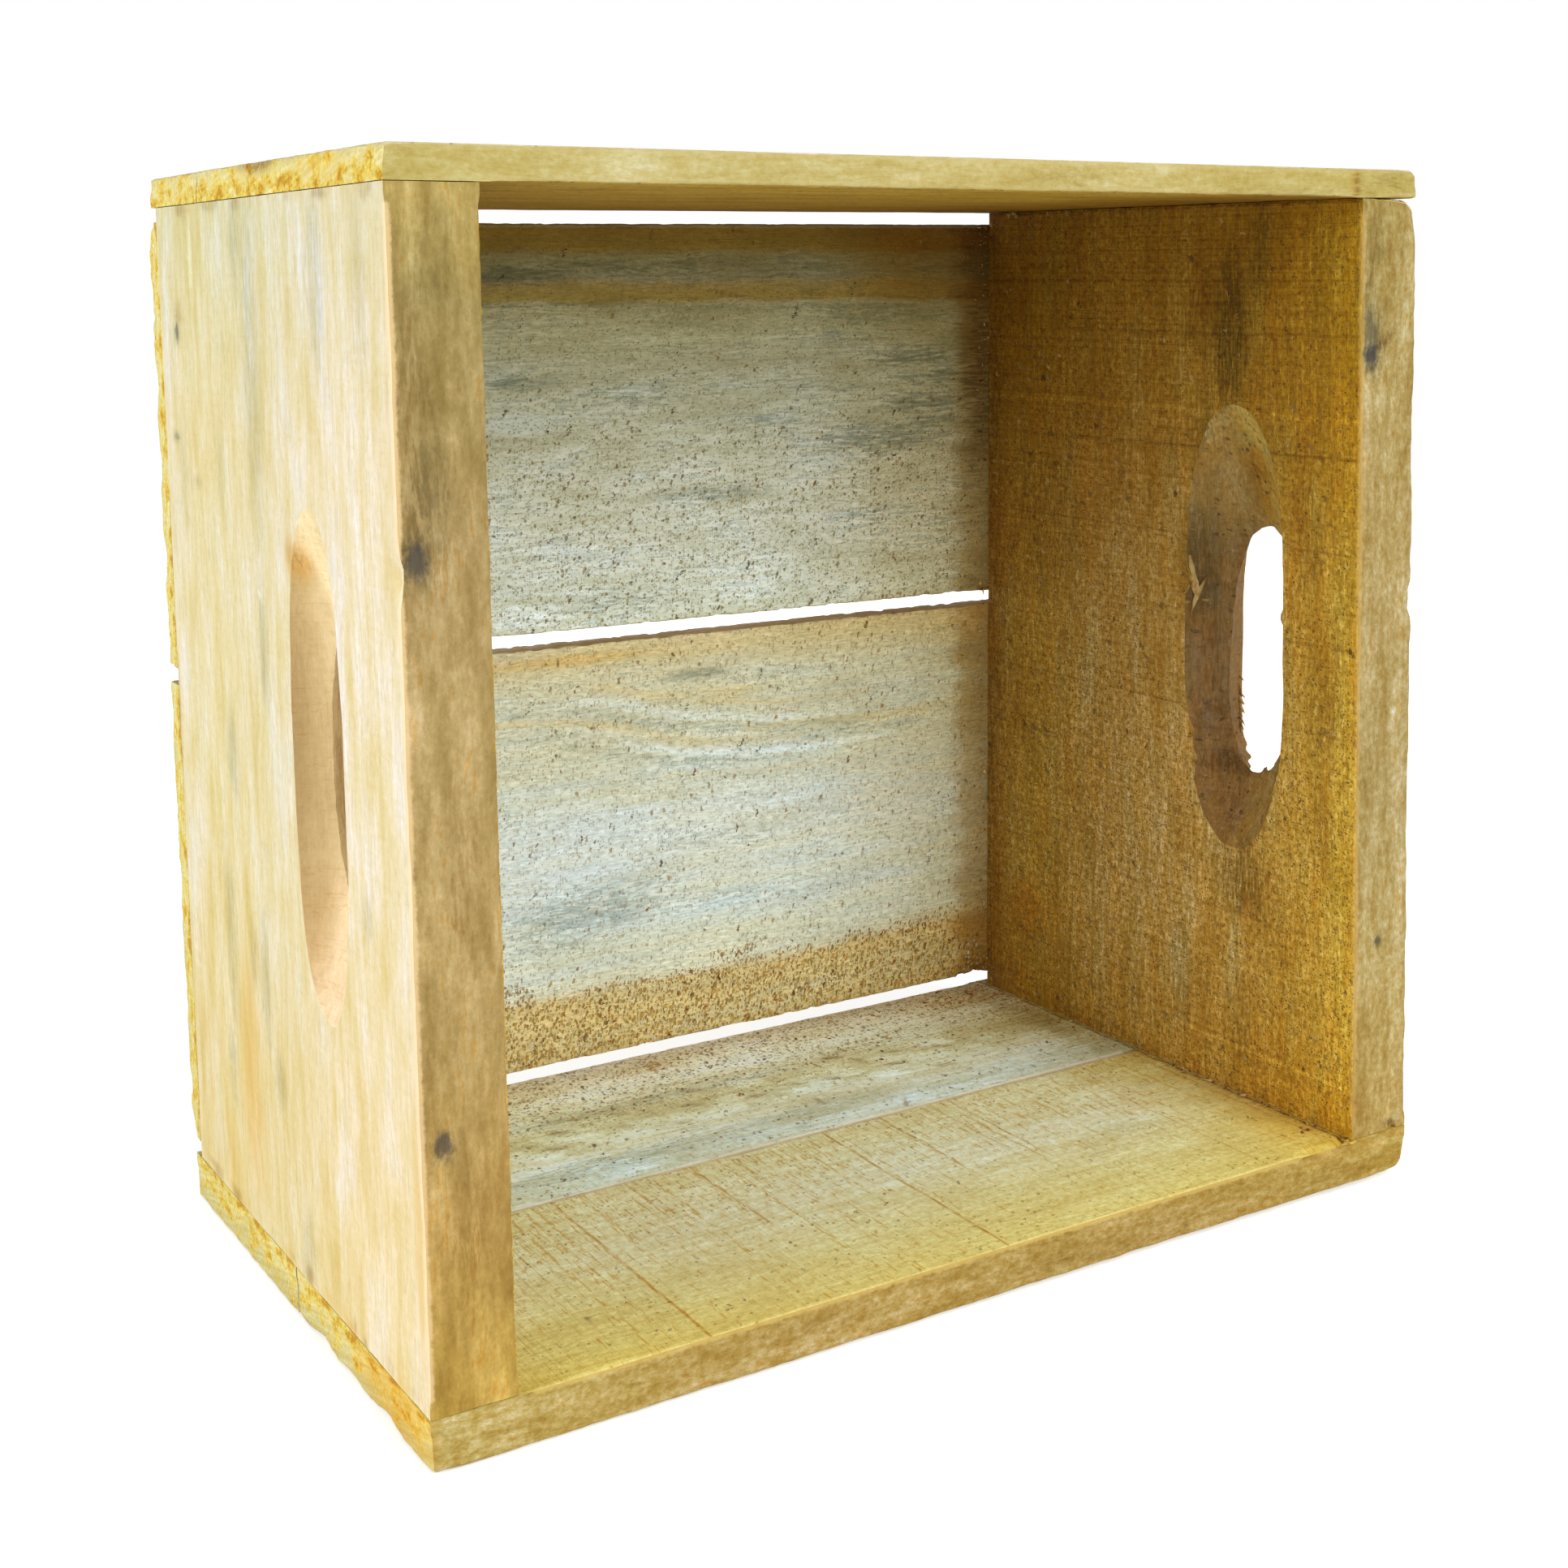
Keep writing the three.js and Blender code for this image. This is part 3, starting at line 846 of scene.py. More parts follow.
def narrow_face(name, spec):
    """Long edge of a board, rougher and more mottled than its wide faces."""
    g = Graph(bpy.data.materials.new(name))
    wood = Wood(g, spec, (0, 2, 1))
    cloud = wood.noise((40, 8, 8), 3, 0.65, 3.0)
    grain = wood.noise(spec.get("grain", (14, 2.6, 2.6)), 4, 0.78, 9.0, bent=True)
    grit = wood.noise((2.4, 1.8, 1.8), 3, 0.72, 7.0)
    colour = g.ramp(g.add(wood.a, g.times(wood.waver, 30.0)), spec["along"])
    colour = textured(g, spec, colour, (cloud, grain, grit))
    dashes = wood.noise((8, 1.2, 1.2), 3, 0.65, 4.0, bent=True)
    ragged = g.add(g.times(grain, 0.55), g.times(grit, 0.45))
    rust = g.span(g.add(dashes, g.around(cloud, 0.6)), 0.60, 0.72, 0.0, spec.get("flecks", 0.5))
    colour = g.mix(rust, colour, RUST_FLECK, "MULTIPLY")
    colour = knotted(g, wood, spec, stained(g, colour, ragged, dashes), ragged)
    height = g.add(g.times(grain, 1.2), g.times(grit, 0.9))
    return finished(g, spec, arris_worn(g, spec, colour, ragged, 0.40), height, grain)


def end_face(name, spec):
    """End grain: torn and orange beside the joint with the panel, whitish at the outer rim, with growth rings."""
    g = Graph(bpy.data.materials.new(name))
    wood = Wood(g, spec, (1, 2, 0))
    blotch = wood.noise((7.5, 5.0, 5.0), 3, 0.6, 5.0)
    slanting = g.join(g.add(wood.b, g.times(wood.a, 0.25)), wood.a, 0.0)
    rings = g.noise(g.scaled(slanting, (1.6, 30, 1), (wood.shift, 0, 0)), 3, 0.6, True)
    pores = wood.noise((1.3, 1.3, 1.3), 2, 0.7, 7.0)
    gap = 20.0
    for joint in spec["joints"]:
        gap = g.math("MINIMUM", gap, g.math("ABSOLUTE", g.add(wood.b, -joint)))
    depth = g.add(g.add(blotch, g.around(pores, 0.3)), g.span(gap, 0.5, 5.5, -0.06, 0.05))
    colour = g.ramp(depth, END_TONES)
    rim = g.span(g.add(gap, g.around(blotch, 18.0)), 6.5, 12.0, 0.0, 0.7)
    colour = g.mix(rim, colour, END_RIM)
    colour = swing(g, colour, rings, (0.35, 0.6, 1.3))
    colour = swing(g, colour, pores, (0.4, 0.6, 1.2))
    colour = stained(g, colour, pores, pores)
    return finished(g, spec, colour, g.add(g.times(pores, 1.4), blotch), pores)


def shred_material(name, size, stops):
    """Crumbs or torn fibres, each of its own shade."""
    g = Graph(bpy.data.materials.new(name))
    place = g.attribute("place")
    shade = g.noise(g.scaled(place, size), 2, 0.6)
    fine = g.noise(g.scaled(place, (0.5, 0.5, 1.4)), 3, 0.7)
    colour = swing(g, g.ramp(shade, stops), fine, (0.8, 0.9, 1.2))
    return g.finish(colour, g.span(fine, 0.3, 0.7, 0.8, 0.95), g.bump(0.6, FINE_RELIEF, fine), 0.2)


def steel_material():
    """Dull steel with rust."""
    g = Graph(bpy.data.materials.new("old_nail"))
    place = g.scaled(g.node("ShaderNodeTexCoord", {}).outputs["Object"], (MM, MM, MM))
    rust = g.span(g.noise(g.scaled(place, (1.6, 1.6, 1.6)), 4, 0.7), 0.38, 0.62)
    fine = g.noise(g.scaled(place, (0.35, 0.35, 0.35)), 3, 0.7)
    colour = g.mix(rust, tone(112, 104, 96), tone(104, 58, 30))
    colour = g.mix(g.span(fine, 0.4, 0.7, 0.0, 0.6), colour, tone(48, 36, 28))
    g.put(g.shader.inputs["Metallic"], g.span(rust, 0.0, 1.0, 0.9, 0.1))
    return g.finish(colour, g.span(rust, 0.0, 1.0, 0.38, 0.85), g.bump(0.7, FINE_RELIEF, g.add(fine, rust)), 0.5)


# Looks of the faces

# The brown and orange stain colours also paint shade and orange reflected light in the inner corners by the right
# panel
GREY_STAIN, BROWN_STAIN_AND_SHADE, ORANGE_STAIN_AND_REFLECTION = (0.50, 0.56, 0.60), (0.46, 0.34, 0.20), (0.98, 0.76, 0.40)
PALE_STAIN, IRON_STAIN = (1.16, 1.25, 1.50), tone(58, 58, 60)
RUST_FLECK = (0.98, 0.78, 0.42)
DUST, DARK, CHIP = tone(176, 122, 56), tone(72, 50, 30), tone(124, 74, 36)
END_TONES = tones((0.30, 204, 152, 26), (0.41, 230, 198, 78), (0.50, 235, 213, 108), (0.60, 238, 223, 150))
END_RIM = tone(214, 203, 138)

# Lines across a face, of the saw and of painted shade: (place, width, strength, from, to, colour)
FLOOR_CUTS = ((-89.5, 0.8, 1.0, -140), (-41, 0.8, 0.85, -70), (-26, 0.7, 0.5, -50), (8.5, 0.8, 0.9, -130),
              (31, 0.7, 0.7, -70), (51, 0.7, 0.65, -60), (59, 0.7, 0.75, -70), (-64, 0.7, 0.6, -50),
              (110, 0.6, 0.45, -120))
# painted shadow on the floor boards along the foot of the right panel
PANEL_SHADOW = (144.0, 0.9, 1.0, -140, 120, (0.42, 0.28, 0.12))
FLOOR_LINES = [(*line, 60, (0.70, 0.44, 0.16)) for line in FLOOR_CUTS] + [PANEL_SHADOW] + [
    (at, 1.2, 0.6, -75, 60, (1.10, 1.14, 1.26)) for at in (33, 45, 66, 72, 80, -100)]

FACES = {
    "outer_panel": dict(
        lie="panel", seed=1, tint=(1.0, 1.5, 4.2), swing=(0.42, 0.34, 0.16), sway=5.0, grain=(48, 4.6, 4.6),
        streaks=0.5, streak_colour=(0.80, 0.82, 0.74), arris_colour=tone(248, 226, 184), arris=0.85, bump=0.5,
        soft=0.18, saw=(1.8, 0.25, (0.94, 0.86, 0.66), []),
        zones=tones((-103, 242, 227, 188), (-60, 242, 227, 188), (0, 234, 221, 176), (50, 235, 220, 166),
            (92, 238, 225, 182)),
        ends=tones((14, 1.0, 0.95, 0.80), (60, 1.0, 0.95, 0.84), (150, 1, 1, 1), (250, 0.98, 0.98, 1.0),
            (314, 0.88, 0.92, 0.90)), knots=[(278, 75, 3.0, 2.6, 0.65), (247, 80, 1.2, 3.6, 0.25)]),
    "inner_panel": dict(
        lie="panel", seed=2, tint=(1.0, 1.5, 3.4), swing=(0.7, 0.9, 1.15), fibres=0.5,
        hue=((44, 9, 9), (0.28, -0.03, -0.6)), sway=5.0, grain=(30, 3.0, 3.0), streaks=0.6,
        streak_colour=(0.70, 0.68, 0.60), arris_colour=tone(222, 180, 92), arris=0.45, bump=1.0,
        # zones darker towards the back and ends darker towards the top: painted shade in the back corner and under
        # the top board
        zones=tones((-103, 223, 179, 57), (-88, 214, 167, 61), (-60, 204, 158, 66), (-20, 208, 166, 88),
            (20, 203, 161, 84), (60, 187, 144, 50), (92, 178, 134, 54)),
        ends=tones((14, 1.12, 1.05, 0.58), (34, 1.05, 1.02, 0.76), (60, 1.17, 1.24, 1.34), (130, 1.12, 1.17, 1.25),
            (200, 0.98, 0.97, 0.82), (250, 0.81, 0.74, 0.32), (314, 0.69, 0.61, 0.16)),
        saw=(1.5, 0.45, (0.66, 0.58, 0.42), [(1, -110, 20, 0.6)]),
        saw_lines=[(247, 1.0, 1.0, -140, 130, (1.35, 1.4, 1.6)), (273, 0.8, 0.8, -140, 60, (0.6, 0.55, 0.5)),
            (235, 0.8, 0.7, -140, 80, (0.6, 0.55, 0.5)), (31, 1.0, 1.0, -140, -5, (1.3, 1.4, 1.6)),
            (290, 0.7, 0.8, -140, 130, (0.65, 0.6, 0.5)), (205, 0.7, 0.8, -140, 120, (0.65, 0.6, 0.5)),
            (60, 0.7, 0.8, -140, 20, (1.25, 1.3, 1.4)), (175, 0.7, 0.7, -140, 120, (0.7, 0.62, 0.5)),
            (78, 0.7, 0.7, -140, 40, (0.7, 0.65, 0.5)), (146, 0.7, 0.6, -140, 120, (0.7, 0.62, 0.5)),
            # the dark line at 314.2 is painted shade in the crease under the top board
            (221, 0.7, 0.6, -140, 120, (1.2, 1.25, 1.3)), (314.2, 1.1, 0.8, -140, 120, (0.40, 0.30, 0.16))],
        specks=[(0.9, 0.5, 0.18, [(1, -10, 50, 0.55), (0, 190, 110, 0.34)], tone(196, 150, 76), tone(84, 54, 20),
                 0.75),
            (0.7, 0.5, 0.14, [(0, 200, 120, 0.24), (1, 10, 60, 0.24)], tone(204, 164, 96), tone(58, 36, 12), 0.6),
            (3.6, 0.3, 0.10, [(1, -10, 60, 0.35)], tone(222, 186, 116), DARK, 0.8)]),
    "top_outer": dict(
        lie="side", seed=3, tint=(1.0, 1.4, 3.0), swing=(0.9, 0.7, 0.4), sway=8.0, streaks=0.6,
        streak_colour=(0.74, 0.76, 0.74), arris_colour=tone(212, 196, 140), arris=0.3,
        specks=[(1.3, 0.45, 0.06, [], DUST, DARK, 0.6)], fibres=0.5,
        zones=tones((-103, 214, 192, 136), (0, 208, 188, 132), (100, 210, 186, 128)),
        saw=(2.0, 0.5, (0.80, 0.66, 0.42), [(1, -60, 60, 0.5)])),
    "top_under": dict(
        lie="side", seed=13, tint=(1.0, 1.3, 2.6), swing=(0.9, 0.8, 0.6), sway=8.0, streaks=0.5,
        streak_colour=(0.72, 0.70, 0.66), arris_colour=tone(190, 160, 80), arris=0.3,
        saw=(2.0, 0.4, (0.74, 0.62, 0.40), []), specks=[(1.8, 0.45, 0.2, [], DUST, DARK, 0.7)],
        # darker towards the back and at both ends: painted shade under the top board and in its corners with the
        # panels
        zones=tones((-103, 194, 162, 64), (-90, 190, 156, 54), (0, 180, 144, 48), (100, 168, 128, 40)),
        ends=tones((-169, 0.7, 0.66, 0.5), (-110, 1.0, 1.0, 1.0), (60, 0.95, 0.93, 0.8), (140, 0.72, 0.60, 0.25))),
    "weathered": dict(
        lie="side", seed=23, tint=(1.0, 1.2, 2.0), swing=(1.2, 0.9, 0.5), sway=8.0, streaks=0.7,
        streak_colour=(0.62, 0.66, 0.68), arris_colour=tone(206, 190, 140), arris=0.3, fibres=0.5,
        zones=tones((-103, 206, 188, 140), (0, 202, 186, 142), (100, 204, 184, 134)),
        saw=(2.4, 0.6, (0.76, 0.64, 0.44), [(1, -60, 60, 0.6)]),
        specks=[(1.3, 0.45, 0.09, [], DUST, DARK, 0.6), (4.0, 0.22, 0.06, [], CHIP, DARK, 0.8)]),
    "front_floor": dict(
        lie="side", seed=4, tint=(1.0, 1.5, 3.0), swing=(0.30, 0.40, 0.55), sway=8.0, grain=(30, 3.6, 3.6),
        streaks=0.3, streak_colour=(0.82, 0.84, 0.76), arris_colour=tone(232, 212, 146), arris=0.25,
        fleck_edge=0.71, fleck=(0.9, 6.0, 6.0), bump=1.0,
        zones=tones((-103, 240, 221, 126), (-75, 238, 228, 158), (-40, 241, 240, 202), (-12, 240, 236, 186),
            (20, 236, 228, 176)),
        # ends darker and browner towards the right panel: painted shade in the corner with the right panel
        ends=tones((-169, 1, 0.99, 0.80), (-110, 1, 1, 0.88), (-70, 1, 1, 1), (40, 1.02, 1.04, 1.08),
            (100, 1.04, 1.07, 1.1), (130, 0.97, 0.88, 0.58), (150, 0.86, 0.70, 0.30)),
        saw=(1.9, 0.80, (0.80, 0.56, 0.24), [(1, -75, -20, 0.60)]),
        saw_lines=FLOOR_LINES,
        specks=[(1.3, 0.42, 0.06, [(1, -60, 0, 0.2)], tone(206, 160, 80), tone(150, 104, 44), 0.6),
            (5.0, 0.14, 0.05, [], tone(130, 96, 52), DARK, 0.8)]),
    "back_floor": dict(
        lie="side", seed=5, tint=(1.0, 1.3, 2.2), swing=(0.7, 0.60, 0.55), sway=8.0, streaks=0.6,
        streak_colour=(0.72, 0.74, 0.74), arris_colour=tone(232, 234, 214), arris=0.6,
        saw=(2.0, 0.45, (0.84, 0.76, 0.60), []), bump=1.1,
        zones=tones((0, 236, 244, 224), (10, 226, 236, 216), (20, 242, 248, 226), (27, 242, 244, 214),
            (36, 232, 230, 186), (50, 230, 224, 176), (58, 238, 236, 200), (72, 1.04, 1.06, 0.84),
            (98, 244, 230, 184)),
        # ends darker towards the right panel: painted shade in the corner with the right panel
        ends=tones((-169, 1.07, 1.12, 1.12), (-70, 1.05, 1.08, 1.08), (-20, 1, 1, 1), (90, 1.03, 1.06, 1.1),
            (120, 0.95, 0.92, 0.84), (135, 0.80, 0.72, 0.52), (150, 0.70, 0.60, 0.38)),
        saw_lines=[PANEL_SHADOW],
        specks=[(1.0, 0.48, 0.10, [(1, 20, 78, 0.45)], tone(198, 154, 84), tone(150, 104, 44), 0.65),
            (1.9, 0.40, 0.05, [(1, 40, 84, 0.50)], tone(186, 134, 54), tone(120, 82, 30), 0.75),
            (3.6, 0.22, 0.08, [(1, 30, 84, 0.25)], CHIP, DARK, 0.85)]),
    "base_upper": dict(
        lie="base", seed=6, tint=(1.0, 1.1, 1.6), swing=(0.8, 0.6, 0.45), fibres=0.45, sway=3.0,
        grain=(40, 3.0, 3.0), streaks=0.6, streak_colour=(0.62, 0.66, 0.66), arris_colour=tone(206, 196, 150),
        arris=0.3, bump=1.0,
        # zones darker and browner towards the top: partly painted shadow of the top board, partly the board's own
        # colour
        zones=tones((172, 0.98, 1.10, 0.94), (196, 0.96, 1.07, 0.94), (225, 0.93, 1.02, 0.84), (255, 228, 238, 210),
            (272, 222, 228, 188), (283.0, 206, 206, 160), (285.0, 184, 164, 88), (290, 184, 166, 98),
            (292, 168, 165, 122), (299, 160, 155, 106), (302, 158, 134, 58), (311, 152, 122, 46)),
        # ends darker and more orange towards the right panel: painted shade in the corner with the right panel and
        # painted light reflected from it, with some real stain
        ends=tones((-145, 1.04, 1.04, 1.06), (60, 1, 1, 1), (105, 0.88, 0.80, 0.64), (126, 0.80, 0.70, 0.51),
            (134, 0.54, 0.38, 0.18), (145, 0.38, 0.25, 0.10)),
        specks=[(0.8, 0.5, 0.20, [(1, 266, 225, 0.45)], tone(194, 168, 92), tone(136, 112, 56), 0.45),
            (1.5, 0.42, 0.02, [(1, 262, 215, 0.20)], tone(188, 158, 62), tone(116, 92, 36), 0.75),
            (3.4, 0.19, 0.03, [(1, 262, 215, 0.08)], tone(160, 124, 46), tone(88, 68, 26), 0.9),
            (7.5, 0.10, 0.13, [], tone(60, 48, 40), DARK, 0.95)]),
    "base_lower": dict(
        lie="base", seed=7, tint=(1.0, 1.05, 1.3), swing=(0.45, 0.45, 0.5), fibres=0.75,
        hue=((80, 9, 9), (0.14, -0.02, -0.4)), sway=5.0, zone_bend=0.7, grain=(44, 3.6, 3.6), streaks=0.5, tall=1.5,
        streak_colour=(0.70, 0.75, 0.76), arris_colour=tone(206, 186, 134), arris=0.3, bump=1.0,
        zones=tones((19, 222, 203, 138), (26, 231, 214, 154), (34, 236, 218, 158), (41.5, 234, 214, 154),
            (46, 236, 240, 216), (60, 234, 246, 236), (100, 238, 250, 244), (118, 234, 244, 226),
            (130, 232, 238, 212), (150, 236, 241, 213), (161, 242, 230, 174), (169, 240, 228, 178)),
        # ends darker and more orange towards the right panel: painted shade in the corner with the right panel and
        # painted light reflected from it, with some real stain
        ends=tones((-145, 1.03, 1.03, 1.06), (60, 1, 1, 1), (105, 1.0, 0.97, 0.90), (126, 0.94, 0.86, 0.69),
            (134, 0.64, 0.46, 0.24), (145, 0.48, 0.32, 0.14)),
        specks=[(0.75, 0.5, 0.26, [], tone(206, 164, 82), tone(140, 110, 60), 0.42),
            (1.4, 0.42, 0.05, [], tone(196, 150, 52), tone(126, 90, 30), 0.75),
            (1.2, 0.5, 0.0, [(1, 34, 27, 0.32)], tone(232, 234, 216), tone(214, 210, 178), 0.7),
            (1.0, 0.55, 0.0, [(1, 50, 41, 0.80)], tone(208, 160, 50), tone(150, 104, 18), 0.85),
            (2.6, 0.24, 0.02, [(1, 48, 40, 0.28)], tone(150, 100, 30), tone(92, 60, 20), 0.9),
            (7.5, 0.09, 0.10, [], tone(60, 48, 40), DARK, 0.9)]),
    "hold_left": dict(
        lie="panel", seed=8, tint=(1.0, 1.2, 1.8), swing=(0.5, 0.4, 0.3), sway=4.0, solid=True, streaks=0.3,
        streak_colour=(0.84, 0.78, 0.72), arris_colour=tone(240, 210, 150), arris=0.0,
        saw=(1.4, 0.5, (0.88, 0.78, 0.66), []), bump=1.0,
        # darker at the back end, from -25 on: painted shade where the slot opens
        zones=tones((-80, 0.98, 0.76, 0.46), (-46, 1.0, 0.80, 0.50), (-32, 0.98, 0.77, 0.46), (-25, 226, 196, 142),
            (-18, 190, 156, 100)),
        ends=tones((80, 1.04, 1.0, 1.0), (110, 1.04, 1.0, 1.0), (140, 1.08, 1.13, 1.2), (200, 1.08, 1.13, 1.2),
            (225, 0.96, 0.98, 0.9), (250, 0.95, 0.98, 0.87))),
    "hold_right": dict(
        lie="panel", seed=9, tint=(1.0, 1.2, 2.0), swing=(0.8, 0.9, 0.9), sway=4.0, solid=True, streaks=0.4,
        streak_colour=(0.74, 0.70, 0.66), arris_colour=tone(190, 160, 90), arris=0.0,
        saw=(1.4, 0.5, (0.80, 0.72, 0.62), []), bump=1.1, hue=((12, 5, 5), (0.35, -0.1, -1.1)), fibres=0.9,
        zones=tones((-80, 172, 140, 76), (-52, 170, 140, 80), (-42, 152, 118, 68), (-20, 144, 110, 62)),
        ends=tones((80, 1.3, 1.2, 1.0), (110, 1.12, 1.06, 0.94), (140, 1, 1, 1), (196, 1.0, 1.04, 1.0),
            (214, 1.45, 1.75, 1.9), (232, 1.5, 1.65, 1.35), (250, 1.8, 2.15, 2.0)),
        specks=[(1.6, 0.45, 0.25, [], tone(190, 150, 90), DARK, 0.7)]),
}
PANEL_TINT, PALE_TINT, EDGE_TINT = (1.0, 1.2, 2.0), (1.0, 1.5, 3.6), (1.0, 1.4, 3.0)
NARROW = {
    "left_panel_front": dict(
        lie="panel", seed=31, tint=PANEL_TINT, swing=(1.2, 0.8, 0.45), grain=(13, 5.0, 5.0),
        arris_colour=tone(232, 200, 144), arris=0.8, bump=0.9, flecks=0.7,
        along=tones((14, 192, 158, 72), (60, 182, 148, 78), (110, 178, 150, 90), (190, 182, 156, 100),
            (230, 168, 142, 88), (290, 160, 140, 82), (314, 176, 152, 84)),
        knots=[(228, -164.2, 5.0, 2.6, 0.72), (85, -162.5, 3.4, 2.6, 0.72)]),
    "right_panel_front": dict(
        lie="panel", seed=32, tint=(1.0, 1.45, 3.0), swing=(0.9, 1.0, 0.75), grain=(8, 3.6, 3.6),
        arris_colour=tone(206, 168, 92), arris=0.5, bump=0.9, flecks=0.75,
        along=tones((14, 180, 150, 78), (70, 182, 158, 94), (130, 176, 154, 96), (200, 176, 152, 92),
            (314, 166, 144, 80)),
        knots=[(267, 149.6, 4.4, 3.4, 0.8), (275, 149.0, 7.5, 3.0, 0.45), (80, 156, 1.7, 1.5, 0.65)]),
    "top_front": dict(
        lie="side", seed=33, tint=PALE_TINT, swing=(0.45, 0.50, 0.36), arris_colour=tone(206, 190, 128), arris=0.3,
        bump=0.6, flecks=0.3,
        along=tones((-169, 186, 168, 94), (-150, 194, 178, 108), (-100, 197, 182, 117), (60, 192, 174, 105),
            (169, 186, 168, 92))),
    "bottom_front": dict(
        lie="side", seed=34, tint=(1.0, 1.45, 3.4), swing=(0.8, 1.0, 0.8), grain=(8, 3.2, 3.2),
        arris_colour=tone(218, 188, 104), arris=0.7, bump=1.0, flecks=0.6,
        along=tones((-169, 190, 167, 92), (-130, 192, 167, 94), (-90, 185, 156, 84), (60, 179, 149, 75),
            (169, 185, 155, 72))),
    "base_edge": dict(
        lie="base", seed=35, tint=EDGE_TINT, swing=(0.8, 0.8, 0.5), arris_colour=tone(214, 196, 146), arris=0.3,
        bump=0.9, along=tones((-169, 204, 186, 142), (169, 190, 160, 108))),
    "side_edge": dict(
        lie="side", seed=36, tint=EDGE_TINT, swing=(0.8, 0.8, 0.5), arris_colour=tone(224, 222, 196), arris=0.5,
        bump=0.9, along=tones((-169, 206, 186, 138), (169, 198, 172, 120))),
}
END = {f"end_grain_{lie}": dict(lie=lie, seed=41, joints=joints, bump=0.9) for lie, joints in (
    ("base", (BASE_Y,)), ("side", (PANEL_FOOT, 315.0)), ("panel", (0.0,)))}
STEEL = steel_material()
MATERIALS = {
    "sawdust": shred_material("sawdust", (2.5, 2.5, 2.5), tones(
        (0.35, 84, 54, 28), (0.45, 168, 112, 52), (0.55, 206, 160, 92), (0.65, 230, 204, 150))),
    "splinter": shred_material("splinter", (3, 3, 5), tones(
        (0.3, 132, 96, 46), (0.45, 176, 140, 76), (0.6, 208, 180, 116))),
}
for table, maker in ((FACES, sawn_face), (NARROW, narrow_face), (END, end_face)):
    for name, spec in table.items():
        MATERIALS[name] = maker(name, spec)
MATERIALS["weathered_base"] = sawn_face("weathered_base", dict(
    FACES["weathered"], lie="base", seed=24, zones=tones((14, 206, 188, 140), (160, 200, 184, 142),
                                                         (311, 204, 184, 134))))


# Marks of the single boards

MARK_DEPTH = 3


def face_marks(axis, level, rows):
    """Marks on a face at a level of the axis. For each kind: place, reach and amount, and perhaps an angle."""
    marks = []
    for kind, spots in rows.items():
        for a, b, reach_a, reach_b, *rest in spots:
            place, size = [a, b], [reach_a, reach_b]
            place.insert(axis, level)
            size.insert(axis, MARK_DEPTH)
            marks.append((kind, place, size, *rest))
    return marks


def chain(kind, stops, reach, amount):
    """Marks in a row along a line of (x, z) stops on the base boards."""
    row = []
    for (x0, z0), (x1, z1) in zip(stops, stops[1:]):
        count = max(1, round(abs(x1 - x0) / (0.6 * reach[0])))
        row += [(x0 + (x1 - x0) * n / count, z0 + (z1 - z0) * n / count, *reach, amount) for n in range(count)]
    return face_marks(1, BASE_Y, {kind: row})


LEFT_MARKS = face_marks(0, -169, {
    GREY: [
        (80, 247, 4, 2, 0.56), (37, 157, 5, 13, 0.59), (3, 193, 3.4, 17, 0.62), (15, 95, 4, 18, 0.59),
        (47, 100, 5, 26, 0.5), (51, 58, 3.4, 12, 0.5), (5, 68, 4.4, 8, 0.53), (3, 268, 7, 44, 0.43),
        (-52, 292, 6, 22, 0.46), (-15, 26, 5, 12, 0.43), (-84, 292, 5, 20, 0.34), (36, 240, 4, 14, 0.28),
        (75, 235, 5, 16, 0.25), (14, 303, 5, 14, 0.46), (-72, 135, 4, 6, 0.43)],
    BROWN: [(73, 284, 4, 2, 0.6), (60, 235, 5, 2, 0.4), (25, 100, 3, 10, 0.45), (92, 160, 1.5, 20, 0.5)],
    PALE: [(4, 208, 2, 2, 0.9), (58, 300, 2.4, 12, 0.8), (-82, 200, 12, 90, 0.3), (-84, 60, 10, 40, 0.25)],
    ORANGE: [(32, 60, 11, 46, 0.65), (60, 30, 40, 14, 0.4), (-100, 62, 3.4, 50, 0.6), (-101, 262, 2.6, 44, 0.5)],
}) + face_marks(1, FRONT, {
    GREY: [(-160, 240, 5, 20, 0.6), (-158, 297, 7, 12, 0.4)],
    BROWN: [
        (-156, 60, 5, 24, 0.35), (-155, 150, 4, 22, 0.3), (-164, 270, 5, 18, 0.45), (-164, 240, 4, 12, 0.5),
        (-156, 243, 2, 1.5, 0.7)],
}) + [
    (BROWN, (-163, -24, 222), (8, 5, 5), 0.6), (ORANGE, (-163, -24, 221), (9, 7, 8), 0.9),
    # the brown deep in the back end of the hand-hold is painted shade in the slot
    (BROWN, (-154, -24, 168), (5, 12, 34), 0.62)
]
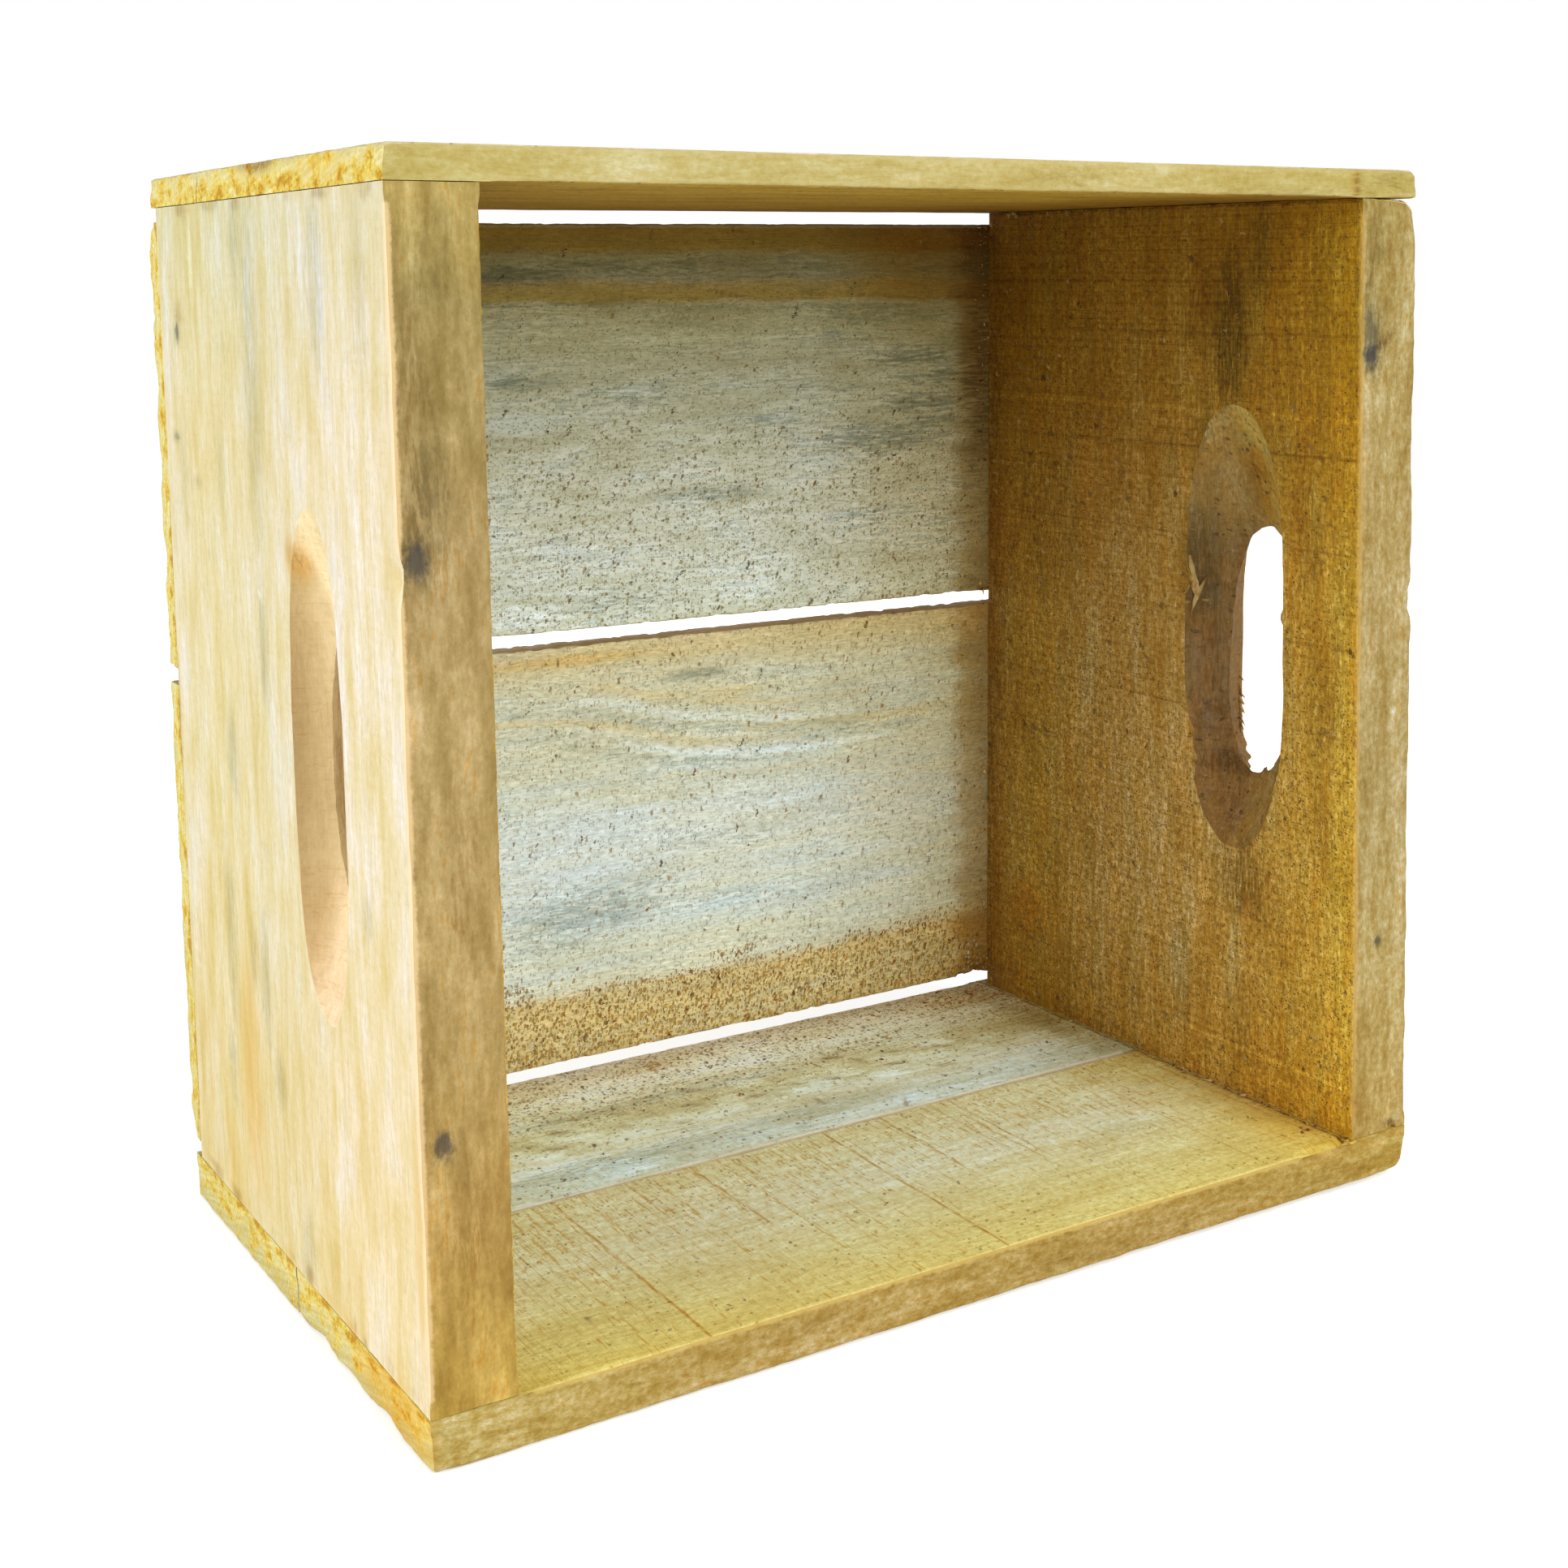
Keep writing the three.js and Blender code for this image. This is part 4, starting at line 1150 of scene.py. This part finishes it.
# torn fibres beside the left panel's joints
SPLINTERS = np.random.default_rng(33)
for joint, low, high in ((PANEL_FOOT, 0.3, 3.2), (PANEL_HEAD, -2.6, -0.2)):
    for y in SPLINTERS.uniform(-96, 90, 34):
        kind = SPLINTERS.choice((BROWN, ORANGE, ORANGE, ORANGE))
        place = (-169, y, joint + SPLINTERS.uniform(low, high))
        size = (3, SPLINTERS.uniform(1.4, 5.0), SPLINTERS.uniform(1.0, 3.4))
        LEFT_MARKS.append((kind, place, size, SPLINTERS.uniform(0.3, 0.75)))
RIGHT_MARKS = face_marks(0, 145, {
    GREY: [
        (-44, 274, 9, 28, 1.0), (-58, 300, 6, 18, 0.8), (-32, 236, 6, 18, 0.6), (-48, 90, 9, 10, 0.6),
        (-84, 215, 5, 26, 0.35), (-22, 50, 5, 22, 0.45)],
    BROWN: [
        # the brown along the back edge at y 88 to 90 and along the foot at z 18 is painted shade in the corners with
        # the back boards and the floor
        (-43, 276, 8, 24, 0.4), (-52, 104, 4, 14, 0.6), (55, 200, 18, 30, 0.4), (90, 60, 6, 60, 0.4),
        (30, 18, 34, 4, 0.35), (88, 150, 6, 160, 0.5), (-28, 285, 6, 22, 0.5), (-78, 235, 4, 36, 0.35),
        (-90, 155, 4, 18, 0.5), (-88, 118, 4, 16, 0.5), (-55, 88, 12, 12, 0.6), (-50, 45, 5, 16, 0.35)],
    PALE: [(-86, 294, 16, 18, 0.5)],
    ORANGE: [
        (20, 215, 22, 24, 0.6), (66, 52, 14, 14, 0.8), (-20, 240, 14, 10, 0.5), (-101, 60, 4, 60, 0.5),
        (-101, 200, 4, 80, 0.5)],
}) + face_marks(1, FRONT, {
    GREY: [(147.5, 284, 3.4, 15, 0.62), (151, 274, 3.0, 7, 0.6), (153.5, 279, 2.4, 5, 0.5), (151, 300, 4, 10, 0.5)],
    BROWN: [
        (154, 271, 3, 1.2, 0.9), (158, 273.5, 3, 1.2, 0.7), (149.6, 267, 1.4, 1.6, 0.9), (163, 16.4, 2.6, 1.6, 1.0)],
    IRON: [(163, 16.4, 1.4, 0.9, 0.6)],
}) + [
    (ORANGE, (152, -48, 229), (12, 6, 8), 1.0), (ORANGE, (152, -48, 216), (12, 9, 12), 1.0),
    (BROWN, (150, -46, 226), (12, 4, 4), 0.6), (ORANGE, (150, -50, 222), (12, 5, 14), 1.0),
    (BROWN, (151, -38, 127), (12, 12, 4.0), 0.7), (BROWN, (150, -27, 160), (12, 3, 26), 0.35),
    (GREY, (149, -25, 196), (12, 4, 20), 0.8), (BROWN, (150, -42, 112), (12, 4, 10), 0.5)
]
BASE_UPPER_MARKS = face_marks(1, BASE_Y, {
    GREY: [
        (22, 217, 26, 2.8, 0.7), (-16, 182, 22, 5, 0.45), (-50, 258.5, 14, 2.6, 0.85), (-8, 253, 24, 3, 0.4),
        (96, 234, 30, 6, 0.85), (84, 271, 24, 1.8, 0.5), (74, 252, 26, 1.6, 0.5), (95, 206, 20, 2, 0.6),
        (118, 264, 20, 4, 0.5), (-50, 294, 20, 3.5, 0.9), (-20, 296, 24, 3, 0.6), (30, 296, 40, 2.5, 0.4),
        (40, 242, 22, 3, 0.5), (112, 262, 20, 2.4, 0.9), (118, 255, 16, 2.2, 0.8), (114, 245.5, 17, 3.6, 0.95),
        (98, 277.5, 34, 3.2, 0.65), (120, 239, 14, 2.4, 0.8), (122, 250, 12, 18, 0.4), (135, 250, 10, 50, 0.3)],
    # the brown at x 141 is painted shade in the corner with the right panel
    BROWN: [(141, 252, 9, 30, 0.7)],
    PALE: [
        (-52, 289, 24, 5, 0.5), (10, 278, 20, 3, 0.6), (-50, 244.5, 18, 5, 0.75), (64, 262, 15, 4, 0.5),
        (-50, 186, 26, 12, 0.5), (40, 184, 30, 7, 0.45), (-40, 226, 20, 6, 0.35)],
    # the orange at x 139 is painted light reflected from the right panel
    ORANGE: [(112, 298, 34, 14, 0.8), (139, 276, 8, 30, 0.6)],
}) + [(IRON, (120, BASE_Y, 206), (2.4, 2, 0.8), 0.7)]
BASE_UPPER_MARKS += chain(GREY, [(-60, 284), (0, 282.6), (60, 281.6), (120, 281)], (9, 1.1), 0.65)
BASE_LOWER_MARKS = face_marks(1, BASE_Y, {
    GREY: [
        (16, 153, 13, 2.2, 0.8), (-30, 72, 30, 7, 0.75), (-40, 64, 20, 3.5, 0.5), (-18, 80, 18, 4, 0.6),
        (25, 70, 20, 3, 0.35), (30, 92, 30, 3, 0.35)],
    # the brown at x 139 is painted shade in the corner with the right panel and the floor
    BROWN: [(139, 27, 6, 8, 0.6)],
    PALE: [(10, 104, 50, 18, 0.35), (90, 160, 34, 4, 0.4), (114, 40, 18, 5, 0.7), (70, 30, 20, 3.5, 0.6)],
    ORANGE: [(-34, 163, 40, 2.6, 0.7), (100, 108, 30, 34, 0.45), (20, 145, 30, 3, 0.6), (70, 139, 30, 2.6, 0.5)],
})
# the wavy grain of the lower base board
for kind, reach, strength, waves in (
        (PALE, (6, 1.5), 0.82, [
            ([(-14, 131), (3, 127), (26, 123.5), (62, 121), (100, 122)], 1.0),
            ([(-14, 145.5), (10, 138.5), (44, 134), (84, 132.5)], 0.9),
            ([(-60, 151), (-34, 149), (-14, 145.5)], 0.7),
            ([(-30, 139), (-14, 135), (10, 131.5), (40, 128.5)], 0.7)]),
        (GREY, (6, 1.3), 0.8, [
            ([(-60, 147), (-36, 145), (-14, 140.5), (10, 134.5), (44, 130.5), (90, 127.5)], 0.6),
            ([(-60, 137.5), (-36, 135.5), (-14, 127), (10, 122), (60, 117.5)], 0.5),
            ([(60, 124.6), (90, 125.4), (112, 125)], 0.5)]),
        (ORANGE, (8, 1.6), 1.0, [
            ([(-60, 143.5), (-30, 141), (-6, 134.5), (16, 128.5), (60, 125.5)], 0.6),
            ([(-20, 152), (20, 142.5), (60, 138.5)], 0.6),
            ([(6, 118), (40, 115), (80, 113.5), (118, 113)], 0.5),
            ([(40, 131), (80, 129.5), (118, 129)], 0.6)])):
    for stops, share in waves:
        BASE_LOWER_MARKS += chain(kind, stops, reach, strength * share)
# hollows of the back floor board, as (x, y), and brown marks by them, as (x, y, amount), which paint torn fibres and
# the shadows of the hollows' rims
HOLLOWS = [(-76, 31), (-58, 38), (-44, 33), (-6, 36), (34, 36.5), (75, 40), (98, 36), (-67.6, 42.4), (-51, 32.7),
           (-35.7, 39.6), (-21.8, 36.8), (-13.4, 32.7), (0.4, 42.4), (25.4, 34), (45, 41), (65.7, 43.8),
           (85, 36.8), (88, 48), (109, 42.4), (-84, 36), (12, 50), (56, 32)]
TORN_FIBRES_AND_SHADOWS = [(-63.4, 46.6, 0.8), (-56.5, 55.5, 0.7), (-39.8, 50.7, 0.8), (-42.6, 39.6, 0.7), (-70.4, 34.9, 0.8),
        (-24.6, 31.3, 0.6), (-14.8, 43.8, 0.8), (-7.9, 55.5, 0.6), (7.4, 39.6, 0.9), (24, 41, 0.7),
        (38.5, 38.2, 0.9), (49, 55.5, 1.0), (69.9, 49.3, 0.8), (64.3, 38.2, 0.9), (78.2, 27.7, 0.7),
        (87.9, 43.8, 0.8), (125.4, 39.6, 0.6), (-30, 45, 0.6), (56, 47, 0.6), (98, 47, 0.6)]
BACK_FLOOR_MARKS = face_marks(2, FLOOR_Z, {
    PALE: [(x, y, 7.5, 4.2, 1.0, -0.3) for x, y in HOLLOWS],
    BROWN: [(x, y, 4.2, 1.5, amount, -0.35) for x, y, amount in TORN_FIBRES_AND_SHADOWS],
}) + face_marks(2, FLOOR_Z, {
    GREY: [(-56, 16, 44, 5, 0.55), (10, 18, 36, 4, 0.45), (-30, 56, 60, 4, 0.5)],
    # the brown at x 135 is painted shade beside the right panel
    BROWN: [(22.6, 23, 1.2, 4, 0.8), (46.3, 5, 1.0, 4.5, 0.9, -0.5), (135, 60, 7, 40, 0.6)],
    PALE: [(65, 6, 36, 4, 1.0), (-40, 5, 60, 3, 0.5)],
    ORANGE: [(110, 82, 40, 12, 0.35)],
})
FRONT_FLOOR_MARKS = face_marks(2, FLOOR_Z, {
    GREY: [(72, -64, 4, 1.2, 0.8), (95, -52, 16, 7, 0.3)],
    # the brown at x 143 is painted shade along the foot of the right panel
    BROWN: [(143, -40, 3, 60, 0.5)],
    PALE: [(134, -92, 6, 5, 0.4)],
    # the orange at x 134 and 140 is painted orange light reflected from the right panel
    ORANGE: [(140, -60, 8, 40, 0.6), (134, -78, 10, 22, 0.5), (-60, -96, 90, 8, 0.3)],
    IRON: [
        (-113, -76, 1.6, 2.4, 0.7), (35, -53, 1.2, 1.5, 0.6), (37, -89, 1.4, 1.1, 0.6), (86, -17, 1.3, 1.2, 0.7)],
}) + face_marks(1, FRONT, {
    BROWN: [(-60, 8, 20, 3, 0.3), (60, 5, 50, 4, 0.3), (130, 4, 22, 3, 0.35)],
    PALE: [(-37.5, 11, 1.2, 1.2, 1.0), (104, 8, 1.4, 1.2, 1.0)],
    ORANGE: [(140, 12, 22, 3, 0.5)],
}) + [(ORANGE, (-169, -80, 8), (3, 36, 10), 0.9)]
TOP_MARKS = [
    # the brown under the top board at the right is painted shade in the corner with the right panel
    (BROWN, (120, -60, 315), (40, 60, 3), 0.5), (ORANGE, (-169, -60, 320), (3, 30, 5), 0.5),
    (BROWN, (-169, -10, 323), (3, 16, 2.5), 0.9),
    (BROWN, (142, FRONT, 318.4), (1.0, 3, 4.6), 1.0), (ORANGE, (142, FRONT, 319), (3, 3, 6), 0.7),
    (IRON, (-102, FRONT, 319), (1.4, 3, 0.9), 0.6), (BROWN, (30, FRONT, 318), (14, 3, 3), 0.25),
    (BROWN, (160, FRONT, 320), (12, 3, 4), 0.35), (ORANGE, (-169, 0, 320), (3, 30, 4), 0.4),
]

# Torn fibres of the right hand-hold: a splinter lifted from the wall of its hollow, a tuft at the front of the
# slot, and a fringe along the lower back rim on the outer face
TEARS = np.random.default_rng(71)
RIGHT_SLIVERS = [
    ((146.0, -22.8, 198.8), (149.4, -24.5, 187), 1.9, 0.8), ((152.2, -26.0, 190.5), (146.8, -23.2, 176.6), 1.7, 1.2),
    ((147.2, -23.4, 191.5), (149.4, -24.6, 182), 3.0, 0.5), ((145.8, -70.2, 185), (146.2, -68.7, 179.2), 2.4, 0.2)]
for z in np.linspace(154, 119, 17):
    rim = -25.2 - 0.02 * (154 - z) - 0.4 * max(0.0, 130 - z) / 10
    root = (168.0, rim + 0.9, z + TEARS.uniform(0.5, 2.5))
    tip = (168.0 - TEARS.uniform(0, 0.8), rim - TEARS.uniform(0.8, 3.4), z - TEARS.uniform(0.5, 2.5))
    RIGHT_SLIVERS.append((root, tip, TEARS.uniform(0.7, 1.5), 0.2))


# The boards. Worn and dents are (x, y, z, reach, extra), and grow closes a hair of play between board and panel

def bottom_joint(x):
    """Back edge of the bottom board in front."""
    return FRONT + 101 + 3 * (x + HALF_LENGTH) / (2 * HALF_LENGTH)


def worn_corners(x, y, reach, rows):
    """Places of wear along an edge, from (z, extra)."""
    return [(x, y, z, reach, extra) for z, extra in rows]


PLAY = 0.31
PANEL = dict(
    lie="panel", step=(3, 2.5, 3), grow=[], tight=[(2, PANEL_FOOT, -1), (2, PANEL_HEAD, -1), (1, 92.1, -1)])
TOP_BOARD = dict(
    slot="top_board_wood", lie="side", radius=1.2, step=(3, 2.5, 3), grow=[(2, PLAY, 0)], tight=[(2, TOP_UNDER, 140)])
BOTTOM_BOARD = dict(lie="side", dust_side=1, grow=[(2, 0, PLAY)], tight=[(2, FLOOR_Z, 140)])
BASE_BOARD = dict(
    slot="base_board_wood", lie="base", radius=1.0, dust_side=-1, grow=[(1, PLAY, 0)], tight=[(1, BASE_Y, 140)])
BOARDS = {
    "end_panel_left": dict(
        PANEL, slot="left_panel_wood", seed=11, radius=1.6, hollows=HOLD_CUTS["left"], nails="_left_",
        arris_at=[(0, -169)], skins=("outer_panel", "inner_panel", "left_panel_front"), marks=LEFT_MARKS,
        worn=[(-169, FRONT, 225, 10, 3.0), (-169, FRONT, 60, 26, 1.6), (-169, FRONT, 30, 20, 1.2),
              (-169, FRONT, 150, 18, 1.2), (-169, FRONT, 200, 24, 1.0), (-169, FRONT, 275, 16, 1.0)],
        dents=[(-169, FRONT, 224, 5, 1.6), (-165, FRONT, 228, 1.8, 0.9), (-163, FRONT, 85, 1.7, 0.9)]),
    "end_panel_right": dict(
        PANEL, slot="right_panel_wood", seed=12, radius=1.4, hollows=HOLD_CUTS["right"], nails="_right_",
        hold_skin="hold_right", arris_at=[(0, 145)], loose=[(169, FRONT, 315, 24)], slivers=RIGHT_SLIVERS,
        skins=("inner_panel", "outer_panel", "right_panel_front"), marks=RIGHT_MARKS,
        worn=[(169, FRONT, PANEL_HEAD, 14, 3.2), (169, FRONT, 240, 30, 0.8), (169, FRONT, 120, 30, 0.8)],
        dents=[(148, FRONT, 267, 2.4, 0.9), (145, -22, 189, 4.5, 2.0), (156, FRONT, 80, 1.5, 1.0),
               (163, FRONT, 16.4, 2.4, 1.3), (169, FRONT, 190, 5, 0.7)]),
    "top_board_front": dict(
        TOP_BOARD, seed=13, skins=("top_under", "top_outer", "top_front"), marks=TOP_MARKS,
        dents=[(142, FRONT, 319, 1.6, 0.5)], worn=[(169, FRONT, TOP, 9, 2.0), (-169, FRONT, TOP, 9, 1.4)],
        loose=[(169, FRONT, 315, 24)]),
    "top_board_back": dict(
        TOP_BOARD, seed=14, skins=("top_under", "top_outer", "side_edge"), marks=TOP_MARKS[-1:]),
    "bottom_board_front": dict(
        BOTTOM_BOARD, slot="bottom_front_wood", seed=15, radius=1.3, step=(3, 2.5, 3), arris_at=[(2, FLOOR_Z)],
        skins=("weathered", "front_floor", "bottom_front"), marks=FRONT_FLOOR_MARKS,
        worn=[(135, FRONT, FLOOR_Z, 16, 2.0), (155, FRONT, FLOOR_Z, 9, 2.4), (-120, FRONT, FLOOR_Z, 14, 1.2),
              (-169, FRONT, 0, 12, 1.2), (169, FRONT, 0, 8, 2.6), (-169, -70, 0, 13, 2.2), (-169, -42, 0, 13, 1.2),
              (-169, -20, 0, 13, 2.6)],
        dents=[(128, FRONT, FLOOR_Z, 5, 1.2), (144, FRONT, FLOOR_Z, 5, 1.2)],
        dust=[((144, -40, 0), (0.7, 34, 0), 110), ((141, -88, 0), (4, 6, 0), 24)],
        shape=slanted(FRONT, FRONT, FRONT + 101, FRONT + 104, 1), back_edge=bottom_joint),
    "bottom_board_back": dict(
        BOTTOM_BOARD, slot="bottom_back_wood", seed=16, radius=1.0, step=(1.7, 1.4, 3),
        skins=("weathered", "back_floor", "side_edge"), marks=BACK_FLOOR_MARKS,
        dust=[((128, 82, 0), (14, 6, 0), 160), ((60, 86, 0), (50, 3.5, 0), 100), ((141, 50, 0), (1.6, 26, 0), 120),
              ((40, 55, 0), (60, 22, 0), 60)],
        shape=slanted(FRONT + 101.6, FRONT + 104.6, FRONT + 200.5, FRONT + 200.5, 1),
        front_edge=lambda x: bottom_joint(x) + 0.6),
    "base_board_lower": dict(
        BASE_BOARD, seed=17, step=(1.6, 3, 1.5), fray=0.9,
        skins=("base_lower", "weathered_base", "base_edge"), marks=BASE_LOWER_MARKS,
        dust=[((40, 0, 30), (60, 0, 8), 120), ((142, 0, 90), (1.4, 0, 50), 110), ((30, 0, 100), (60, 0, 40), 25)],
        worn=worn_corners(-169, 102.9, 8, [(160, 2.0), (132, 1.2), (104, 2.4), (70, 1.4), (38, 3.0), (22, 3.0)]),
        dents=[(141, BASE_Y, 20, 3, 3.0), (133, BASE_Y, 20, 2.2, 1.6), (137, BASE_Y, 20, 1.2, 2.0)],
        shape=slanted(19.8, 19.8, 169.3, 167.3, 2)),
    "base_board_upper": dict(
        BASE_BOARD, seed=18, step=(1.6, 3, 2.0), fray=0.6,
        skins=("base_upper", "weathered_base", "base_edge"), marks=BASE_UPPER_MARKS,
        dust=[((142, 0, 240), (1.4, 0, 45), 120), ((40, 0, 215), (55, 0, 22), 30)],
        worn=worn_corners(-169, 102.9, 9, [(310, 4.0), (286, 1.8), (262, 2.6), (236, 1.2), (205, 2.4), (180, 1.6)]),
        dents=[(116, BASE_Y, 172, 1.6, 0.9), (133, BASE_Y, 172, 1.4, 0.8)],
        shape=slanted(174.1, 172.1, 310.8, 310.8, 2)),
}
for node, spec in BOARDS.items():
    build_board(node, spec)


# Nails

for number, (node, (head, out)) in enumerate(sorted(NAILS.items())):
    points, faces = lathe(NAIL_PROFILE, 24)
    flat = points[:, 2] > -1.3
    jolt = rough_noise(points * (1, 1, 0.2), 2.0, 200 + number, 2)
    points[flat, 2] -= 0.12 * (1 + jolt[flat]) * (points[flat, 2] > -0.5)
    points[flat, :2] *= (1 + 0.03 * noise(points[flat], 2.5, 300 + number))[:, None]
    thing = mesh_object(node + "_steel", racked(turned(points, out) + head), faces)
    thing.data.materials.append(STEEL)
    shade_smooth(thing.data, SHARP_STEEL)
    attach(thing, "root")
    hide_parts(node)


# Studio

WORLD_LIGHT = 0.5
WHITE = (1.0, 1.0, 1.0)
FLOOR_RADIUS = 1.6
FLOOR_GLOW = 0.52
LAMP_TARGET = (0, 0, 0.15)

world = bpy.data.worlds.new("studio")
bpy.context.scene.world = world
g = Graph(world)
background = g.tree.nodes["Background"].inputs
g.put(background["Color"], WHITE)
g.put(background["Strength"], g.seen_or_lit(1.0, WORLD_LIGHT))

bpy.ops.mesh.primitive_circle_add(vertices=96, radius=FLOOR_RADIUS, fill_type="NGON", location=(0, 0, -0.0005))
floor = bpy.context.object
floor.name = "floor"
g = Graph(bpy.data.materials.new("pale_floor"))
for key, value in (("Base Color", (0.9, 0.9, 0.9)), ("Roughness", 0.9), ("Specular IOR Level", 0.1)):
    g.put(g.shader.inputs[key], value)
# the floor glows where it is looked at, least below the crate, so that it ends as white as the world
place = g.node("ShaderNodeTexCoord", {}).outputs["Object"]
distance = g.node("ShaderNodeVectorMath", {0: place}, operation="LENGTH").outputs["Value"]
strength = g.times(g.seen_or_lit(1.0, 0.0), g.span(distance, 0.3, 1.5, FLOOR_GLOW, 1.0))
glow = g.node("ShaderNodeEmission", {"Color": WHITE, "Strength": strength}).outputs[0]
both = g.node("ShaderNodeAddShader", {0: g.shader.outputs[0], 1: glow}).outputs[0]
g.put(g.tree.nodes["Material Output"].inputs["Surface"], both)
floor.data.materials.append(g.owner)


def softbox(name, place, size, watts):
    """Square lamp that faces the crate."""
    data = bpy.data.lights.new(name, "AREA")
    data.shape = "SQUARE"
    data.size = size
    data.energy = watts
    lamp = bpy.data.objects.new(name, data)
    bpy.context.scene.collection.objects.link(lamp)
    lamp.location = place
    lamp.rotation_euler = (Vector(LAMP_TARGET) - Vector(place)).to_track_quat("-Z", "Y").to_euler()


softbox("key", (0.35, -1.7, 1.35), 1.3, 24)
softbox("left_fill", (-1.7, -0.1, 0.6), 1.2, 12)

# Camera: the photograph's, fitted to the crate's corners
CAMERA_PLACE = (-0.34393, -0.56763, 0.28723)
YAW, PITCH, ROLL = (math.radians(a) for a in (31.053, 9.067, -0.912))
LENS = 49.21
SHIFT_Y = -0.0963
SENSOR = 36
CLIP_START = 0.01

camera_data = bpy.data.cameras.new("camera")
camera = bpy.data.objects.new("camera", camera_data)
bpy.context.scene.collection.objects.link(camera)
forward = Vector((math.sin(YAW) * math.cos(PITCH), math.cos(YAW) * math.cos(PITCH), -math.sin(PITCH)))
right = Vector((math.cos(YAW), -math.sin(YAW), 0))
up = right.cross(forward)
tilted_right = math.cos(ROLL) * right + math.sin(ROLL) * up
tilted_up = -math.sin(ROLL) * right + math.cos(ROLL) * up
turn = Matrix((tilted_right, tilted_up, -forward)).transposed()
camera.matrix_world = Matrix.Translation(CAMERA_PLACE) @ turn.to_4x4()
camera_data.sensor_width = SENSOR
camera_data.lens = LENS
camera_data.shift_y = SHIFT_Y
camera_data.clip_start = CLIP_START
camera_data.dof.use_dof = False
bpy.context.scene.camera = camera
bpy.context.scene.view_settings.view_transform = "Standard"

bpy.context.view_layer.update()
